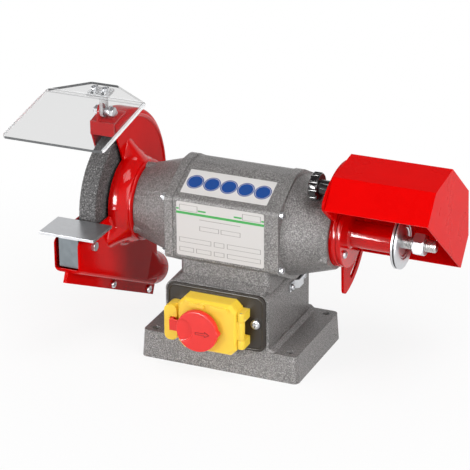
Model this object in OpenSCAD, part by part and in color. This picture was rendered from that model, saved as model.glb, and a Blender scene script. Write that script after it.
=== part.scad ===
// Combination bench grinder: a grinding wheel in a pressed guard on the left,
// a polishing spindle under an adjustable hood on the right.
// X runs along the spindle, Y points to the back, Z points up.
// The origin is the centre of the foot's bolt pattern, on the bench.

/* [Spindle] */
// Height of the spindle above the bench
axis_h = 160; // [155:1:175]
// Diameter of the wheel seat and its thread
seat_d = 16; // [14:0.5:16.5]
// Diameter of the polishing end and its thread
polish_d = 14; // [12:0.5:15]
// Diameter of the shaft in the bearings
journal_d = 17; // [17:0.1:18]
// Free thread beyond the polishing nut
thread_free = 12; // [4:1:16]

/* [Grinding wheel] */
// Wheel diameter
wheel_d = 150; // [140:1:154]
// Wheel thickness
wheel_w = 20; // [14:1:21]
// Middle of the wheel, left of the origin
wheel_x = 151; // [150:0.5:153]
// Diameter of the wheel's clamping flanges
wheel_flange_d = 58; // [50:1:60]

/* [Wheel guard] */
// Outer radius of the guard round the wheel
guard_r = 100; // [97:1:103]
// Outer width of the guard
guard_w = 32; // [31.5:0.5:36]
// Thickness of the pressed sheet
sheet = 1.8; // [1.2:0.1:2]
// Rounding of the pressed edges
press_r = 6; // [4:0.5:7]
// How far the mouth reaches forward of the spindle
mouth_y = 127; // [125:1:132]
// Height of the seam's flange
seam_h = 11.5; // [9:0.5:12]
// Outer diameter of the dust port
port_d = 40; // [34:1:42]

/* [Eye shield] */
// Width of the clear pane
shield_w = 120; // [90:1:130]
// Depth of the pane, from its front edge to the flap
shield_len = 106; // [80:1:115]
// Thickness of the clear sheet
shield_t = 3; // [2:0.25:4]

/* [Tool rest] */
// Width of the rest's table
rest_w = 66; // [50:1:76]
// Depth of the rest's table
rest_d = 45; // [40:1:50]
// Thickness of the rest's plate
rest_t = 3; // [2:0.25:3.5]

/* [Motor] */
// Length of the motor body between its end bells
motor_len = 114; // [112:1:118]
// Half width of the eight-sided motor section
motor_half = 60; // [59.5:0.5:64]
// Half height of its upright side faces
motor_side = 35; // [33:0.5:38]
// Half width of its flat top
motor_top = 11; // [9:0.5:14]
// Bore of the motor body
motor_bore_d = 108; // [104:0.5:109]
// Diameter of a bell's nose
nose_d = 84; // [80:1:86]

/* [Foot] */
// Width of the foot at its top
foot_w = 184; // [180:1:200]
// Depth of the foot at its top
foot_d = 126; // [124:1:140]
// Height of the foot
foot_h = 32; // [28:1:36]
// Spread of the bolt holes along X
bolt_x = 160; // [152:1:162]
// Spread of the bolt holes along Y
bolt_y = 106; // [102:1:107]
// Diameter of the bolt holes
bolt_d = 8; // [6:0.5:10]
// Wall of the casting
cast_wall = 6; // [5:0.5:7]

/* [Polishing side] */
// Diameter of the polishing flanges
polish_flange_d = 60; // [44:1:64]
// Length of the tube round the shaft
tube_len = 51; // [44:1:52]
// Outer diameter of that tube
tube_d = 29; // [26:0.5:34]
// Length of the hood
hood_len = 114.6; // [108:1:120]
// Half width of the hood across its opening
hood_half = 75; // [73:0.5:80]
// Depth of the hood
hood_depth = 77; // [72:1:84]
// Sheet thickness of the hood
hood_t = 2; // [1.2:0.1:2.5]
// Radius of the slotted sector plate
sector_r = 79; // [77:0.5:82]
// Radius at which the hood's bolts run
slot_r = 68; // [67:0.5:69]
// How far the hood can be turned back
hood_swing = 45; // [30:1:50]
// Diameter of the clamp knob
knob_d = 31; // [26:1:32]

/* [Switch] */
// Width of the black switch plate
plate_w = 116; // [114:1:118]
// Height of the black switch plate
plate_h = 66; // [64:1:68]
// Width of the yellow switch cover
lid_w = 69; // [66:0.5:70]
// Height of the yellow switch cover
lid_h = 60; // [58:1:62]
// Diameter of the red stop disc
disc_d = 48; // [42:1:50]
// Travel of the stop disc
press_travel = 2.5; // [1.5:0.25:2.5]
// Travel of the red latch
latch_travel = 4; // [2:0.5:4]

/* [Hidden] */
// Radial gap of a running fit
run = 0.05;
// Gap between faces that pass each other
gap = 0.3;
// Clearance of a screw in a plain hole
slack = 0.3;
// Overlap that keeps a cut clean
over = 1;
$fn = 64;

// Places along the spindle
body_mid = 2.5;
body_l = body_mid - motor_len / 2;
body_r = body_mid + motor_len / 2;
rim_t = 9.5;
rim_proud = 1.2;
crown_r = 25;
nose_l = body_mid - 114.5;
nose_r = body_mid + 114.5;
bell_l = body_l - nose_l;
bell_r = nose_r - body_r;
bearing_od = 40;
bearing_w = 12;
nose_wall = 4;
wave_t = 1;
brg_l = nose_l + nose_wall;
brg_r = nose_r - nose_wall - wave_t - bearing_w;
core_d = 20;
core_len = 75;
rotor_r = 30;
air = 0.5;
winding_len = 12;

// Wheel and its clamp
wheel_l = -wheel_x - wheel_w / 2;
wheel_r = -wheel_x + wheel_w / 2;
blotter_t = 0.6;
flange_w = 6.4;
nut_w = 13;
nut_af = 24;
shoulder_l = wheel_r + blotter_t + flange_w;
nut_l = wheel_l - blotter_t - flange_w - nut_w;
shaft_l = nut_l - 5;

// Polishing side
sector_t = 3;
sector_x = nose_r;
collar_x = sector_x + sector_t;
collar_d = 75.4;
collar_t = 4.7;
groove_t = 1;
tube_x = collar_x + 2 * collar_t + groove_t;
tube_end = tube_x + tube_len;
tube_bore = 22;
shoulder_r = tube_end + 1.5;
pflange_t = 4;
pnut_x = shoulder_r + 2 * pflange_t + 10.5;
pnut_w = 12.8;
pnut_af = 22;
shaft_r = pnut_x + pnut_w + thread_free;
hood_x = collar_x + gap;
hood_tilt = 38.8;
hood_low = 38;
hood_crest = 37;
hood_bolt_d = 8;
knob_angle = 116;
guide_angle = -20;
sector_a0 = -87;
sector_a1 = 141;
tube_screw_r = 29;
nose_screw_r = 35.5;
lug_r = 7;
lug_place = 38.5;
m5 = 5;
turns = [90, 210, 330];

// Guard
seam_x = -151.5;
seam_gap = 0.05;
half_w = guard_w / 2;
plate_rx = seam_x + half_w;
rest_top = -1;
mouth_top = rest_top - rest_t - gap - 0.1;
mouth_low = -39;
button_r = 8;
ring_d = 100;
seam_a = [-126, -43];
seam_b = [88, -148];
seam_dir = (seam_b - seam_a) / norm(seam_b - seam_a);
seam_n = [-seam_dir[1], seam_dir[0]];
seam_ang = atan2(seam_dir[1], seam_dir[0]);
seam_len = norm(seam_b - seam_a);
port_back = 9.8;
port_c = seam_b + seam_n * port_d / 2 - seam_dir * port_back;
seam_bolts = [121, 222];
belly = [[button_r - mouth_y, mouth_top - button_r], [-38, mouth_top - button_r],
    [64, -77], [64, -127.3], [button_r - mouth_y, -37.5]];

// Shield
pivot = [-22, 107.5];
pivot_d = 6;
ear_x = -158;
ear_t = 2.5;
leg_t = 4;
leg_x = ear_x + ear_t + gap;
bend = [-38, 127];
tilt = 9.7;
shield_x = -154;
flap_x = -157;
flap_w = 32;
flap_len = 28;

// Rest
rest_back = -wheel_d / 2 - 4;
rest_front = rest_back - rest_d;
rest_bolt = [rest_back - 13, -23];
rest_out = 8;
rest_in = 2;
cheek_h = 31;
cheek_x = plate_rx - sheet - gap - rest_t;

// Switch
switch_z = 65;
plate_x = -2;
plate_y = -foot_d / 2;
plate_t = 3;
frame_y = plate_y - plate_t;
frame_t = 10;
lid_x = -4.3;
lid_z = 61;
lid_y = frame_y - frame_t - gap;
lid_t = 9.7;
lid_wall = 2.4;
face_y = lid_y - lid_t;
hinge_r = 4;
hinge_x = lid_x + lid_w / 2 + hinge_r + gap;
hinge_y = lid_y - hinge_r - gap;
pin_d = 3.2;
bar_t = 2.5;
disc_x = -12.5;
disc_z = 57.5;
disc_y = face_y - gap - press_travel;
disc_t = 6.3;
plunger_d = 8;
window_w = 52;
window_h = 42;
button_d = 15;
stop_x = disc_x;
start_x = 12;
ear_c = lid_x - lid_w / 2 - 9.7;
clamp_z = axis_h - motor_half - rim_proud - 14.8;
neck_y = foot_d / 2 - 10;
gland_y = neck_y + 1;
gland_z = 58;
plate_screw_x = [ear_c, plate_x + 47.5];

// Tie bolts
tie_y = motor_half - 6;
tie_z = motor_side - 3;
tie_d = 5;

// Motor section, grown by o
function octagon(o = 0) = [
    [motor_half + o, -motor_side], [motor_half + o, motor_side],
    [motor_top, motor_half + o], [-motor_top, motor_half + o],
    [-motor_half - o, motor_side], [-motor_half - o, -motor_side],
    [-motor_top, -motor_half - o], [motor_top, -motor_half - o]];

// Corner radii of the octagon: its flat top runs into the slopes in wide curves
function octagon_r(side) = [side, side, crown_r, crown_r, side, side, side, side];

// A polygon's points with every corner rounded by an arc; r is one radius or one per corner
function round_pts(p, r, n = 4) = [for (i = [0:len(p) - 1])
    let (b = p[i], a = p[(i + len(p) - 1) % len(p)], c = p[(i + 1) % len(p)], q = is_list(r) ? r[i] : r,
        u = (a - b) / norm(a - b), v = (c - b) / norm(c - b), h = acos(u * v) / 2,
        o = b + (u + v) / norm(u + v) * q / sin(h), s = b + u * q / tan(h) - o,
        e = b + v * q / tan(h) - o)
    for (k = [0:n]) let (w = s * (1 - k / n) + e * k / n) o + q * w / norm(w)];

// Quarter arc of radius r from the face at -h round to the rim at radius big
function edge_arc(big, h, r, n = 4) = [for (k = [0:n])
    [big - r + r * sin(90 * k / n), -h + r - r * cos(90 * k / n)]];

// Outline with cut corners
function cut_corners(w, h, c) = [
    [w / 2, -h / 2 + c], [w / 2, h / 2 - c], [w / 2 - c, h / 2], [-w / 2 + c, h / 2],
    [-w / 2, h / 2 - c], [-w / 2, -h / 2 + c], [-w / 2 + c, -h / 2], [w / 2 - c, -h / 2]];

// Places its children on the spindle at x, with their X along Y and their Y along Z
module on_axis(x = 0) {
    translate([x, 0, axis_h]) rotate([90, 0, 90]) children();
}

// Places its children at depth y, with their Z towards the user
module on_front(y) {
    translate([0, y, 0]) rotate([90, 0, 0]) children();
}

// A straight round solid along the spindle
module round_x(x, len, d, y = 0, z = 0) {
    on_axis(x) translate([y, z, 0]) cylinder(h = len, d = d);
}

// A hexagon along the spindle with chamfered corners
module hex_x(x, len, af, y = 0, z = 0) {
    corner = af / cos(30) / 2;
    on_axis(x) translate([y, z, 0]) intersection() {
        rotate(30) cylinder(h = len, r = corner, $fn = 6);
        rotate_extrude() polygon([[0, 0], [af / 2, 0], [corner, len * 0.16],
            [corner, len * 0.84], [af / 2, len], [0, len]]);
    }
}

// A rounded rectangle in the plane, centred
module rounded(w, h, r) {
    square([w - 2 * r, h], center = true);
    square([w, h - 2 * r], center = true);
    for (sx = [-1, 1], sy = [-1, 1])
        translate([sx * (w / 2 - r), sy * (h / 2 - r)]) circle(r);
}

// A wedge from the centre between two angles, longer than any disc here
module wedge(a0, a1, r = 240) {
    n = ceil((a1 - a0) / 60);
    polygon(concat([[0, 0]], [for (i = [0:n])
        r * [cos(a0 + (a1 - a0) * i / n), sin(a0 + (a1 - a0) * i / n)]]));
}

// Points on an arc of radius r round a centre, from angle a0 to a1 in n steps
function arc_pts(r, a0, a1, n, c = [0, 0]) = [for (k = [0:n])
    let (a = a0 + (a1 - a0) * k / n) c + r * [cos(a), sin(a)]];

// An arc-shaped slot with round ends
module arc_slot(r, w, a0, a1) {
    h = w / 2;
    polygon(concat(arc_pts(r + h, a0, a1, 30),
        arc_pts(h, a1 + 15, a1 + 165, 10, r * [cos(a1), sin(a1)]),
        arc_pts(r - h, a1, a0, 30),
        arc_pts(h, a0 + 195, a0 + 345, 10, r * [cos(a0), sin(a0)])));
}

// A pan head with its shank, head towards +Z
module pan_screw(d, head_d, head_t, len) {
    translate([0, 0, -len]) cylinder(h = len + head_t / 3, d = d, $fn = 32);
    difference() {
        rotate_extrude($fn = 48) polygon(concat([[0, 0], [head_d / 2, 0]],
            [for (k = [0:4]) [head_d / 2 - head_t * 0.7 * (1 - cos(90 * k / 4)),
                head_t * (0.4 + 0.6 * sin(90 * k / 4))]], [[0, head_t]]));
        for (a = [0, 90]) rotate(a) translate([-head_d * 0.3, -head_d * 0.06, head_t * 0.45])
            cube([head_d * 0.6, head_d * 0.12, head_t]);
    }
}

// The foot and the pedestal are one casting, open below
module base_casting() {
    neck_l = -50;
    neck_r = 56;
    ped_l = plate_x - plate_w / 2 - 3;
    ped_r = plate_x + plate_w / 2 + 3;
    ped_w = ped_r - ped_l;
    ped_x = (ped_l + ped_r) / 2;
    ped_top = switch_z + plate_h / 2 + 1.5;
    ped_h = ped_top - foot_h + over;
    neck_w = neck_r - neck_l;
    neck_x = (neck_l + neck_r) / 2;
    neck_z = ped_top + 6;
    color("gray") difference() {
        union() {
            difference() {
                union() {
                    // Foot with a slight flare
                    hull() for (x = [-1, 1], y = [-1, 1]) {
                        translate([x * (foot_w / 2 - 6), y * (foot_d / 2 - 6), foot_h - 1])
                            cylinder(h = 1, r = 6, $fn = 32);
                        translate([x * (foot_w / 2 - 4.3), y * (foot_d / 2 - 4.3), 0])
                            cylinder(h = 1, r = 6, $fn = 32);
                    }
                    // Pedestal, rounded like the switch plate in front
                    hull() {
                        translate([ped_x, plate_y + 8, foot_h - over + ped_h / 2]) rotate([90, 0, 0])
                            linear_extrude(8) rounded(ped_w, ped_h, 12, $fn = 48);
                        translate([ped_x, neck_y + 1, foot_h - over + ped_h / 2]) rotate([90, 0, 0])
                            linear_extrude(8) rounded(ped_w, ped_h - 2, 5, $fn = 32);
                    }
                    translate([ped_l, plate_y, foot_h - over]) cube([ped_w, neck_y - plate_y, 22]);
                    // Drawn-in shoulder
                    hull() {
                        translate([ped_x, (plate_y + neck_y) / 2, ped_top - 1.5]) linear_extrude(0.5)
                            rounded(ped_w - 13, neck_y - plate_y - 0.5, 5, $fn = 32);
                        translate([neck_x, 0, neck_z - 0.5]) linear_extrude(0.5)
                            rounded(neck_w, 2 * neck_y, 6, $fn = 32);
                    }
                    translate([neck_x, 0, ped_top - 10])
                        linear_extrude(axis_h - motor_side - ped_top + 10)
                            rounded(neck_w, 2 * neck_y, 6);
                    // Fillet between the pedestal and the foot
                    hull() {
                        translate([ped_x, 0, foot_h - 0.5]) linear_extrude(0.5)
                            rounded(ped_w + 14, foot_d - 0.4, 6, $fn = 32);
                        translate([ped_x, 0, foot_h + 3]) linear_extrude(0.5)
                            rounded(ped_w + 4, foot_d - 1, 4, $fn = 32);
                    }
                }
                // Hollow foot, pedestal and neck
                translate([cast_wall - foot_w / 2, cast_wall - foot_d / 2, -over])
                    cube([foot_w - 2 * cast_wall, foot_d - 2 * cast_wall, foot_h - cast_wall + over]);
                translate([ped_l + 1.2 * cast_wall, plate_y + 1.2 * cast_wall, -over])
                    cube([ped_w - 2.4 * cast_wall, neck_y - plate_y - 2.4 * cast_wall, ped_top - 11]);
                translate([neck_l + cast_wall, cast_wall - neck_y, ped_top - 14])
                    cube([neck_w - 2 * cast_wall, 2 * neck_y - 2 * cast_wall,
                        axis_h - motor_side - ped_top + 14 + over]);
            }
            // Bosses round the bolt holes and posts for the cover
            for (x = [-1, 1], y = [-1, 1]) {
                translate([x * bolt_x / 2, y * bolt_y / 2, 0])
                    cylinder(h = foot_h - 0.5, d = bolt_d + 10);
                translate([x * 70, y * 25, 4.5]) cylinder(h = foot_h - 6, d = 10);
            }
        }
        for (x = [-1, 1], y = [-1, 1]) {
            translate([x * bolt_x / 2, y * bolt_y / 2, -over])
                cylinder(h = foot_h + 2 * over, d = bolt_d);
            translate([x * 70, y * 25, 0]) cylinder(h = 17, d = 4 + 2 * run);
        }
        // The motor lies in the neck
        on_axis(neck_l - 20) linear_extrude(neck_w + 40) polygon(octagon());
        on_axis(body_l - 20) linear_extrude(20) polygon(octagon(rim_proud + gap));
        on_axis(body_r) linear_extrude(20) polygon(octagon(rim_proud + gap));
        // Window for the switch, and its screw holes
        on_front(plate_y + 20) translate([lid_x, lid_z, 0])
            linear_extrude(30) rounded(window_w + 4, window_h + 4, 4);
        for (x = plate_screw_x) on_front(plate_y + 20) translate([x, switch_z, 0])
            cylinder(h = 30, d = 5 + 2 * run);
        // Cord inlet at the back
        translate([0, gland_y + 1, gland_z]) rotate([90, 0, 0]) cylinder(h = 20, d = 16 + 2 * run);
        // Screw holes of the clamp on the right side
        for (y = [0, 34]) translate([ped_r - 12, y, clamp_z])
            rotate([0, 90, 0]) cylinder(h = 24, d = 4 + 2 * run);
    }
}

// Pressed cover under the foot
module base_cover() {
    inset = 2 * cast_wall + 2;
    color("dimgray") translate([0, 0, 3]) linear_extrude(1.5) difference() {
        square([foot_w - inset, foot_d - inset], center = true);
        for (x = [-1, 1], y = [-1, 1]) {
            translate([x * (bolt_x / 2 + 50), y * (bolt_y / 2 + 50)])
                square(100 + bolt_d + 13, center = true);
            translate([x * 70, y * 25]) circle(d = 4 + 2 * slack);
        }
    }
}

module cover_screws() {
    color("silver") for (x = [-1, 1], y = [-1, 1])
        translate([x * 70, y * 25, 3]) rotate([180, 0, 0]) pan_screw(4, 8, 2, 12);
}

// Eight-sided motor body with a round bore
module motor_body() {
    color("gray") difference() {
        on_axis(body_l) linear_extrude(motor_len) difference() {
            polygon(round_pts(octagon(), octagon_r(5)));
            circle(d = motor_bore_d + 2 * run, $fn = 96);
            for (y = [-1, 1], z = [-1, 1]) translate([y * tie_y, z * tie_z])
                circle(d = tie_d + 2 * slack, $fn = 32);
        }
        translate([10, 0, axis_h - motor_half - over]) cylinder(h = 20, d = 14);
    }
}

// Hollow end bell; it is drawn with its joint at z = 0 and its nose up
module bell(len, post_r) {
    inner = len - nose_wall;
    color("gray") difference() {
        union() {
            difference() {
                union() {
                    linear_extrude(rim_t) polygon(round_pts(octagon(rim_proud), octagon_r(6)));
                    rotate_extrude($fn = 96) polygon([[0, 0], [56, 0], [56, rim_t],
                        [nose_d / 2, len - 1], [nose_d / 2 - 1, len], [0, len]]);
                }
                rotate_extrude($fn = 96) polygon([[0, -over], [50.5, -over], [50.5, rim_t],
                    [36, inner], [25, inner], [25, inner - wave_t - bearing_w - 2],
                    [0, inner - wave_t - bearing_w - 2]]);
            }
            for (a = turns) rotate(a) {
                translate([lug_place, 0, len - 18]) cylinder(h = 18, r = lug_r, $fn = 48);
                if (post_r < nose_screw_r)
                    translate([post_r, 0, len - 16]) cylinder(h = 15, r = 6, $fn = 48);
            }
        }
        for (a = turns) rotate(a) translate([post_r, 0, len - 15])
            cylinder(h = 16, d = m5 + 2 * run, $fn = 32);
        for (y = [-1, 1], z = [-1, 1]) translate([y * tie_y, z * tie_z, -over])
            cylinder(h = rim_t + 2 * over, d = tie_d + 2 * slack, $fn = 32);
        translate([0, 0, -over]) cylinder(h = len + 2 * over, d = journal_d + 1.4);
        translate([0, 0, inner - 30]) cylinder(h = 30, d = bearing_od + 2 * run, $fn = 96);
    }
}

module left_bell() {
    translate([body_l, 0, axis_h]) mirror([1, 0, 0]) rotate([90, 0, 90]) bell(bell_l, nose_screw_r);
}

module right_bell() {
    translate([body_r, 0, axis_h]) rotate([90, 0, 90]) bell(bell_r, tube_screw_r);
}

module tie_bolts() {
    x0 = body_l - rim_t;
    x1 = body_r + rim_t;
    color("silver") for (y = [-1, 1], z = [-1, 1]) {
        round_x(x0 - 6, x1 - x0 + 7, tie_d, y * tie_y, z * tie_z, $fn = 32);
        on_axis(x1) translate([y * tie_y, z * tie_z, 0]) difference() {
            rotate_extrude($fn = 48) polygon([[0, 0], [4, 0], [4, 3.2], [3.4, 4], [0, 4]]);
            translate([0, 0, 1.6]) cylinder(h = 4, r = 2.3, $fn = 6);
        }
    }
}

module tie_nuts() {
    color("silver") for (y = [-1, 1], z = [-1, 1]) difference() {
        hex_x(body_l - rim_t - 4, 4, 8, y * tie_y, z * tie_z);
        round_x(body_l - rim_t - 5, 6, tie_d + 2 * run, y * tie_y, z * tie_z, $fn = 32);
    }
}

module stator_core() {
    color("dimgray") on_axis(body_mid - core_len / 2) linear_extrude(core_len) difference() {
        circle(d = motor_bore_d, $fn = 96);
        circle(rotor_r + air, $fn = 96);
    }
}

module stator_windings() {
    color("chocolate") for (x = [body_mid - core_len / 2 - winding_len, body_mid + core_len / 2])
        on_axis(x) rotate_extrude() polygon([[35, 0], [48, 0], [49, 2], [49, winding_len - 2],
            [47, winding_len], [37, winding_len], [34.5, winding_len - 2], [34.5, 2]]);
}

// Motor capacitor lying on the cover plate
module capacitor() {
    color("ivory") translate([-42, 10, 4.5 + 17.5 + 0.02]) rotate([0, 90, 0]) {
        cylinder(h = 64, d = 35);
        translate([0, 0, 63]) cylinder(h = 4, d = 31);
        for (y = [-5, 5]) translate([-3, y - 0.4, 66]) cube([6, 0.8, 8]);
    }
}

// Gland of the cord inlet at the back
module cable_gland() {
    color("black") translate([0, gland_y, gland_z]) rotate([-90, 0, 0]) difference() {
        union() {
            translate([0, 0, -16]) cylinder(h = 17, d = 16);
            cylinder(h = 4, d = 23, $fn = 6);
            translate([0, 0, 3]) rotate_extrude() polygon([[0, 0], [9, 0], [9, 6], [6.5, 11], [0, 11]]);
        }
        translate([0, 0, -18]) cylinder(h = 40, d = 8);
    }
}

// Bearing rings with their ball grooves
module ring_pair(r0, r1) {
    color("silver") for (x = [brg_l, brg_r]) on_axis(x) rotate_extrude($fn = 96) difference() {
        translate([r0, 0]) square([r1 - r0, bearing_w]);
        translate([14.25, bearing_w / 2]) circle(3.38, $fn = 48);
    }
}

module bearing_outers() {
    ring_pair(16.25, bearing_od / 2);
}

module bearing_inners() {
    ring_pair(journal_d / 2 + 0.02, 12.25);
}

module bearing_balls() {
    color("lightgray") for (x = [brg_l, brg_r]) on_axis(x + bearing_w / 2)
        for (i = [0:7]) rotate(i * 45) translate([14.25, 0, 0]) sphere(3.33, $fn = 32);
}

module wave_washer() {
    color("silver") on_axis(brg_r + bearing_w) linear_extrude(wave_t) difference() {
        circle(d = bearing_od - 1);
        circle(16);
    }
}

// A puck with rounded edges, one corner of the pressed body
module puck(r, edge, h) {
    low = edge_arc(r, h, edge);
    rotate_extrude($fn = 32) polygon(concat([[0, -h]], low,
        [for (k = [len(low) - 1:-1:0]) [low[k][0], -low[k][1]]], [[0, h]]));
}

// The pressed body of the guard, g inside its outer face, round the seam plane
module guard_form(g) {
    h = half_w - g;
    edge = press_r - g;
    low = edge_arc(guard_r - g, h, edge, 5);
    // The round part follows the wheel
    intersection() {
        rotate_extrude($fn = 120) polygon(concat([[0, -h]], low,
            [for (k = [len(low) - 1:-1:0]) [low[k][0], -low[k][1]]], [[0, h]]));
        translate(seam_a) rotate(seam_ang) translate([-100, press_r, -h - over])
            cube([500, 300, 2 * h + 2 * over]);
    }
    // Mouth and belly
    hull() for (p = belly) translate([p[0], p[1], 0]) puck(button_r - g, edge, h);
    // The belly flares into the round dust port
    translate(port_c) rotate(seam_ang) rotate([0, 90, 0]) {
        hull() {
            translate([0, 2, -46]) linear_extrude(0.5) rounded(2 * h, 44 - 2 * g, edge, $fn = 32);
            translate([0, 0, -21]) cylinder(h = 0.5, d = port_d - 2 * g, $fn = 64);
        }
        translate([0, 0, -21]) cylinder(h = 21 + (g > 0 ? over : 0), d = port_d - 2 * g, $fn = 96);
    }
}

// What is cut from both halves: the front opening and the mouth
module guard_cuts() {
    w = 2 * (half_w - sheet);
    translate([0, 0, -60]) linear_extrude(120) difference() {
        polygon([[-30, 125], [-28, 82], [-14, 50], [-14, mouth_top], [-145, mouth_top], [-145, 125]]);
        circle(d = ring_d + 1, $fn = 120);
    }
    translate([-145, mouth_low, -w / 2]) cube([45, 60, w]);
    translate([-145, mouth_top - 12, -w / 2]) cube([90, 20, w]);
}

// Seam flange with its screw holes, lying on the seam plane
module seam_strip() {
    translate(seam_a) rotate(seam_ang) difference() {
        translate([0, -seam_h, 0]) cube([seam_len, seam_h + sheet * 0.8, sheet]);
        for (s = seam_bolts) translate([s, -seam_h / 2, -over])
            cylinder(h = 2 * sheet + over, d = m5 + 2 * slack, $fn = 32);
    }
}

// The half next to the motor carries the cone that is screwed to the bell
module guard_inner_half() {
    top = nose_l - seam_x;
    color("red") on_axis(seam_x) difference() {
        union() {
            difference() {
                guard_form(0);
                guard_form(sheet);
                guard_cuts();
                translate([-300, -300, seam_gap - 100]) cube([600, 600, 100]);
                cylinder(h = 60, r = ring_d / 2 - 1.5, $fn = 120);
            }
            // Cone up to the nose of the bell
            rotate_extrude($fn = 120) polygon([[ring_d / 2, half_w - sheet],
                [ring_d / 2 + 0.4, half_w], [nose_d / 2 + 1, top - 1], [nose_d / 2, top],
                [30, top], [30, top - sheet], [nose_d / 2 - 1.5, top - sheet],
                [ring_d / 2 - 2, half_w - sheet]]);
            // Pressed ribs that run from the screws out over the plate
            for (a = turns) rotate(a) hull() {
                translate([nose_d / 2 - 5, 0, top - 2.4]) cylinder(h = 0.4, r = 5.5, $fn = 32);
                translate([nose_d / 2 + 5, 0, half_w - sheet + 0.2]) cylinder(h = 0.4, r = 6, $fn = 32);
                translate([nose_d / 2 + 24, 0, half_w - 0.4]) cylinder(h = 0.5, r = 1.2, $fn = 32);
            }
            translate([0, 0, seam_gap]) seam_strip();
        }
        for (a = turns) rotate(a) translate([nose_screw_r, 0, top - 10]) {
            cylinder(h = 20, d = m5 + 2 * slack, $fn = 32);
            translate([0, 0, -4 - sheet]) cylinder(h = 14, r = 5, $fn = 48);
        }
        translate([rest_bolt[0], rest_bolt[1], 5]) cylinder(h = 20, d = 6 + 2 * slack, $fn = 32);
        rotate(97) translate([90, 0, 6]) rotate([0, 90, 0]) cylinder(h = 20, d = 4 + 2 * run, $fn = 32);
    }
}

module guard_outer_half() {
    color("red") on_axis(seam_x) {
        difference() {
            guard_form(0);
            guard_form(sheet);
            guard_cuts();
            translate([-300, -300, -seam_gap]) cube([600, 600, 100]);
            translate([0, 0, -30]) cylinder(h = 30, r = 34, $fn = 96);
        }
        translate([0, 0, -seam_gap - sheet]) seam_strip();
    }
}

module seam_screws() {
    reach = sheet + seam_gap;
    color("silver") on_axis(seam_x) translate(seam_a) rotate(seam_ang)
        for (s = seam_bolts) translate([s, -seam_h / 2, 0]) {
            translate([0, 0, reach]) pan_screw(m5, 9, 3.2, 2 * reach + 5);
            translate([0, 0, -reach - 3.6]) difference() {
                cylinder(h = 3.6, d = 8 / cos(30), $fn = 6);
                translate([0, 0, -over]) cylinder(h = 6, d = m5 + 2 * run, $fn = 32);
            }
        }
}

module guard_screws() {
    color("silver") on_axis(nose_l - sheet) for (a = turns) rotate(a)
        translate([nose_screw_r, 0, 0]) rotate([180, 0, 0]) pan_screw(m5, 9, 3.2, 14);
}

// Bracket over the guard's edge: front lip, band and the ear of the eye shield
module spark_arrester() {
    r0 = guard_r + run;
    color("red") difference() {
        union() {
            on_axis(seam_x - 14) linear_extrude(29) {
                intersection() {
                    difference() {
                        circle(r0 + 2, $fn = 120);
                        circle(r0, $fn = 120);
                    }
                    wedge(91, 107.8);
                }
                translate([-32.3, 82]) square([2, 15.6]);
            }
            on_axis(ear_x) linear_extrude(ear_t) difference() {
                union() {
                    translate(pivot) circle(8);
                    polygon([[-30, 107.5], [-14, 107.5], [-10, 100], [-32.3, 96]]);
                }
                circle(r0 + 0.5, $fn = 120);
                translate(pivot) circle(d = pivot_d + 2 * run);
            }
        }
        on_axis(seam_x + 6) rotate(97) translate([90, 0, 0]) rotate([0, 90, 0])
            cylinder(h = 20, d = 4 + 2 * slack, $fn = 32);
    }
}

module arrester_screw() {
    color("silver") on_axis(seam_x + 6) rotate(97) translate([guard_r + run + 2.02, 0, 0])
        rotate([0, 90, 0]) pan_screw(4, 8, 2.8, 8);
}

// Bolt, spring washer stack and nut on which the eye shield turns
module shield_bolt() {
    y = pivot[0];
    z = pivot[1];
    color("silver") {
        round_x(ear_x - 7, 21, pivot_d, y, z, $fn = 48);
        hex_x(leg_x + leg_t + 6.5, 4.5, 10, y, z);
        difference() {
            hex_x(ear_x - 5, 5, 10, y, z);
            round_x(ear_x - 6, 7, pivot_d + 2 * run, y, z, $fn = 48);
        }
        difference() {
            union() {
                round_x(leg_x + leg_t + gap, 5, 9.5, y, z);
                round_x(leg_x + leg_t + gap + 5, 1.2, 13, y, z);
            }
            round_x(leg_x, 20, pivot_d + 2 * run, y, z, $fn = 48);
        }
    }
}

module rest_clamp_bolt() {
    y = rest_bolt[0];
    z = rest_bolt[1];
    color("silver") {
        round_x(cheek_x - 6, plate_rx - cheek_x + 6.5, 6, y, z, $fn = 48);
        hex_x(plate_rx, 4, 10, y, z);
        difference() {
            hex_x(cheek_x - gap - 4.5, 4.5, 10, y, z);
            round_x(cheek_x - 8, 10, 6 + 2 * run, y, z, $fn = 48);
        }
    }
}

// Outline of the sector: its long arc, both rounded corners and the centre
function sector_pts(c) = let (m = sector_r - c, turn = asin(c / m),
        b0 = sector_a0 + turn, b1 = sector_a1 - turn)
    concat(arc_pts(sector_r, b0, b1, 72),
        arc_pts(c, b1 + 15, sector_a1 + 90, 6, m * [cos(b1), sin(b1)]),
        [[0, 0]],
        arc_pts(c, sector_a0 - 90, b0 - 15, 6, m * [cos(b0), sin(b0)]));

// Slotted sector that carries the hood's bolts
module sector_plate() {
    w = hood_bolt_d + 2 * run;
    color("red") on_axis(sector_x) linear_extrude(sector_t) difference() {
        union() {
            polygon(sector_pts(8));
            circle(d = collar_d, $fn = 96);
        }
        arc_slot(slot_r, w, knob_angle - hood_swing - 1, knob_angle + 1);
        arc_slot(slot_r, w, guide_angle - hood_swing - 1, guide_angle + 1);
        circle(d = tube_bore);
        for (a = turns) rotate(a) translate([tube_screw_r, 0]) circle(d = m5 + 2 * slack, $fn = 32);
    }
}

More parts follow.
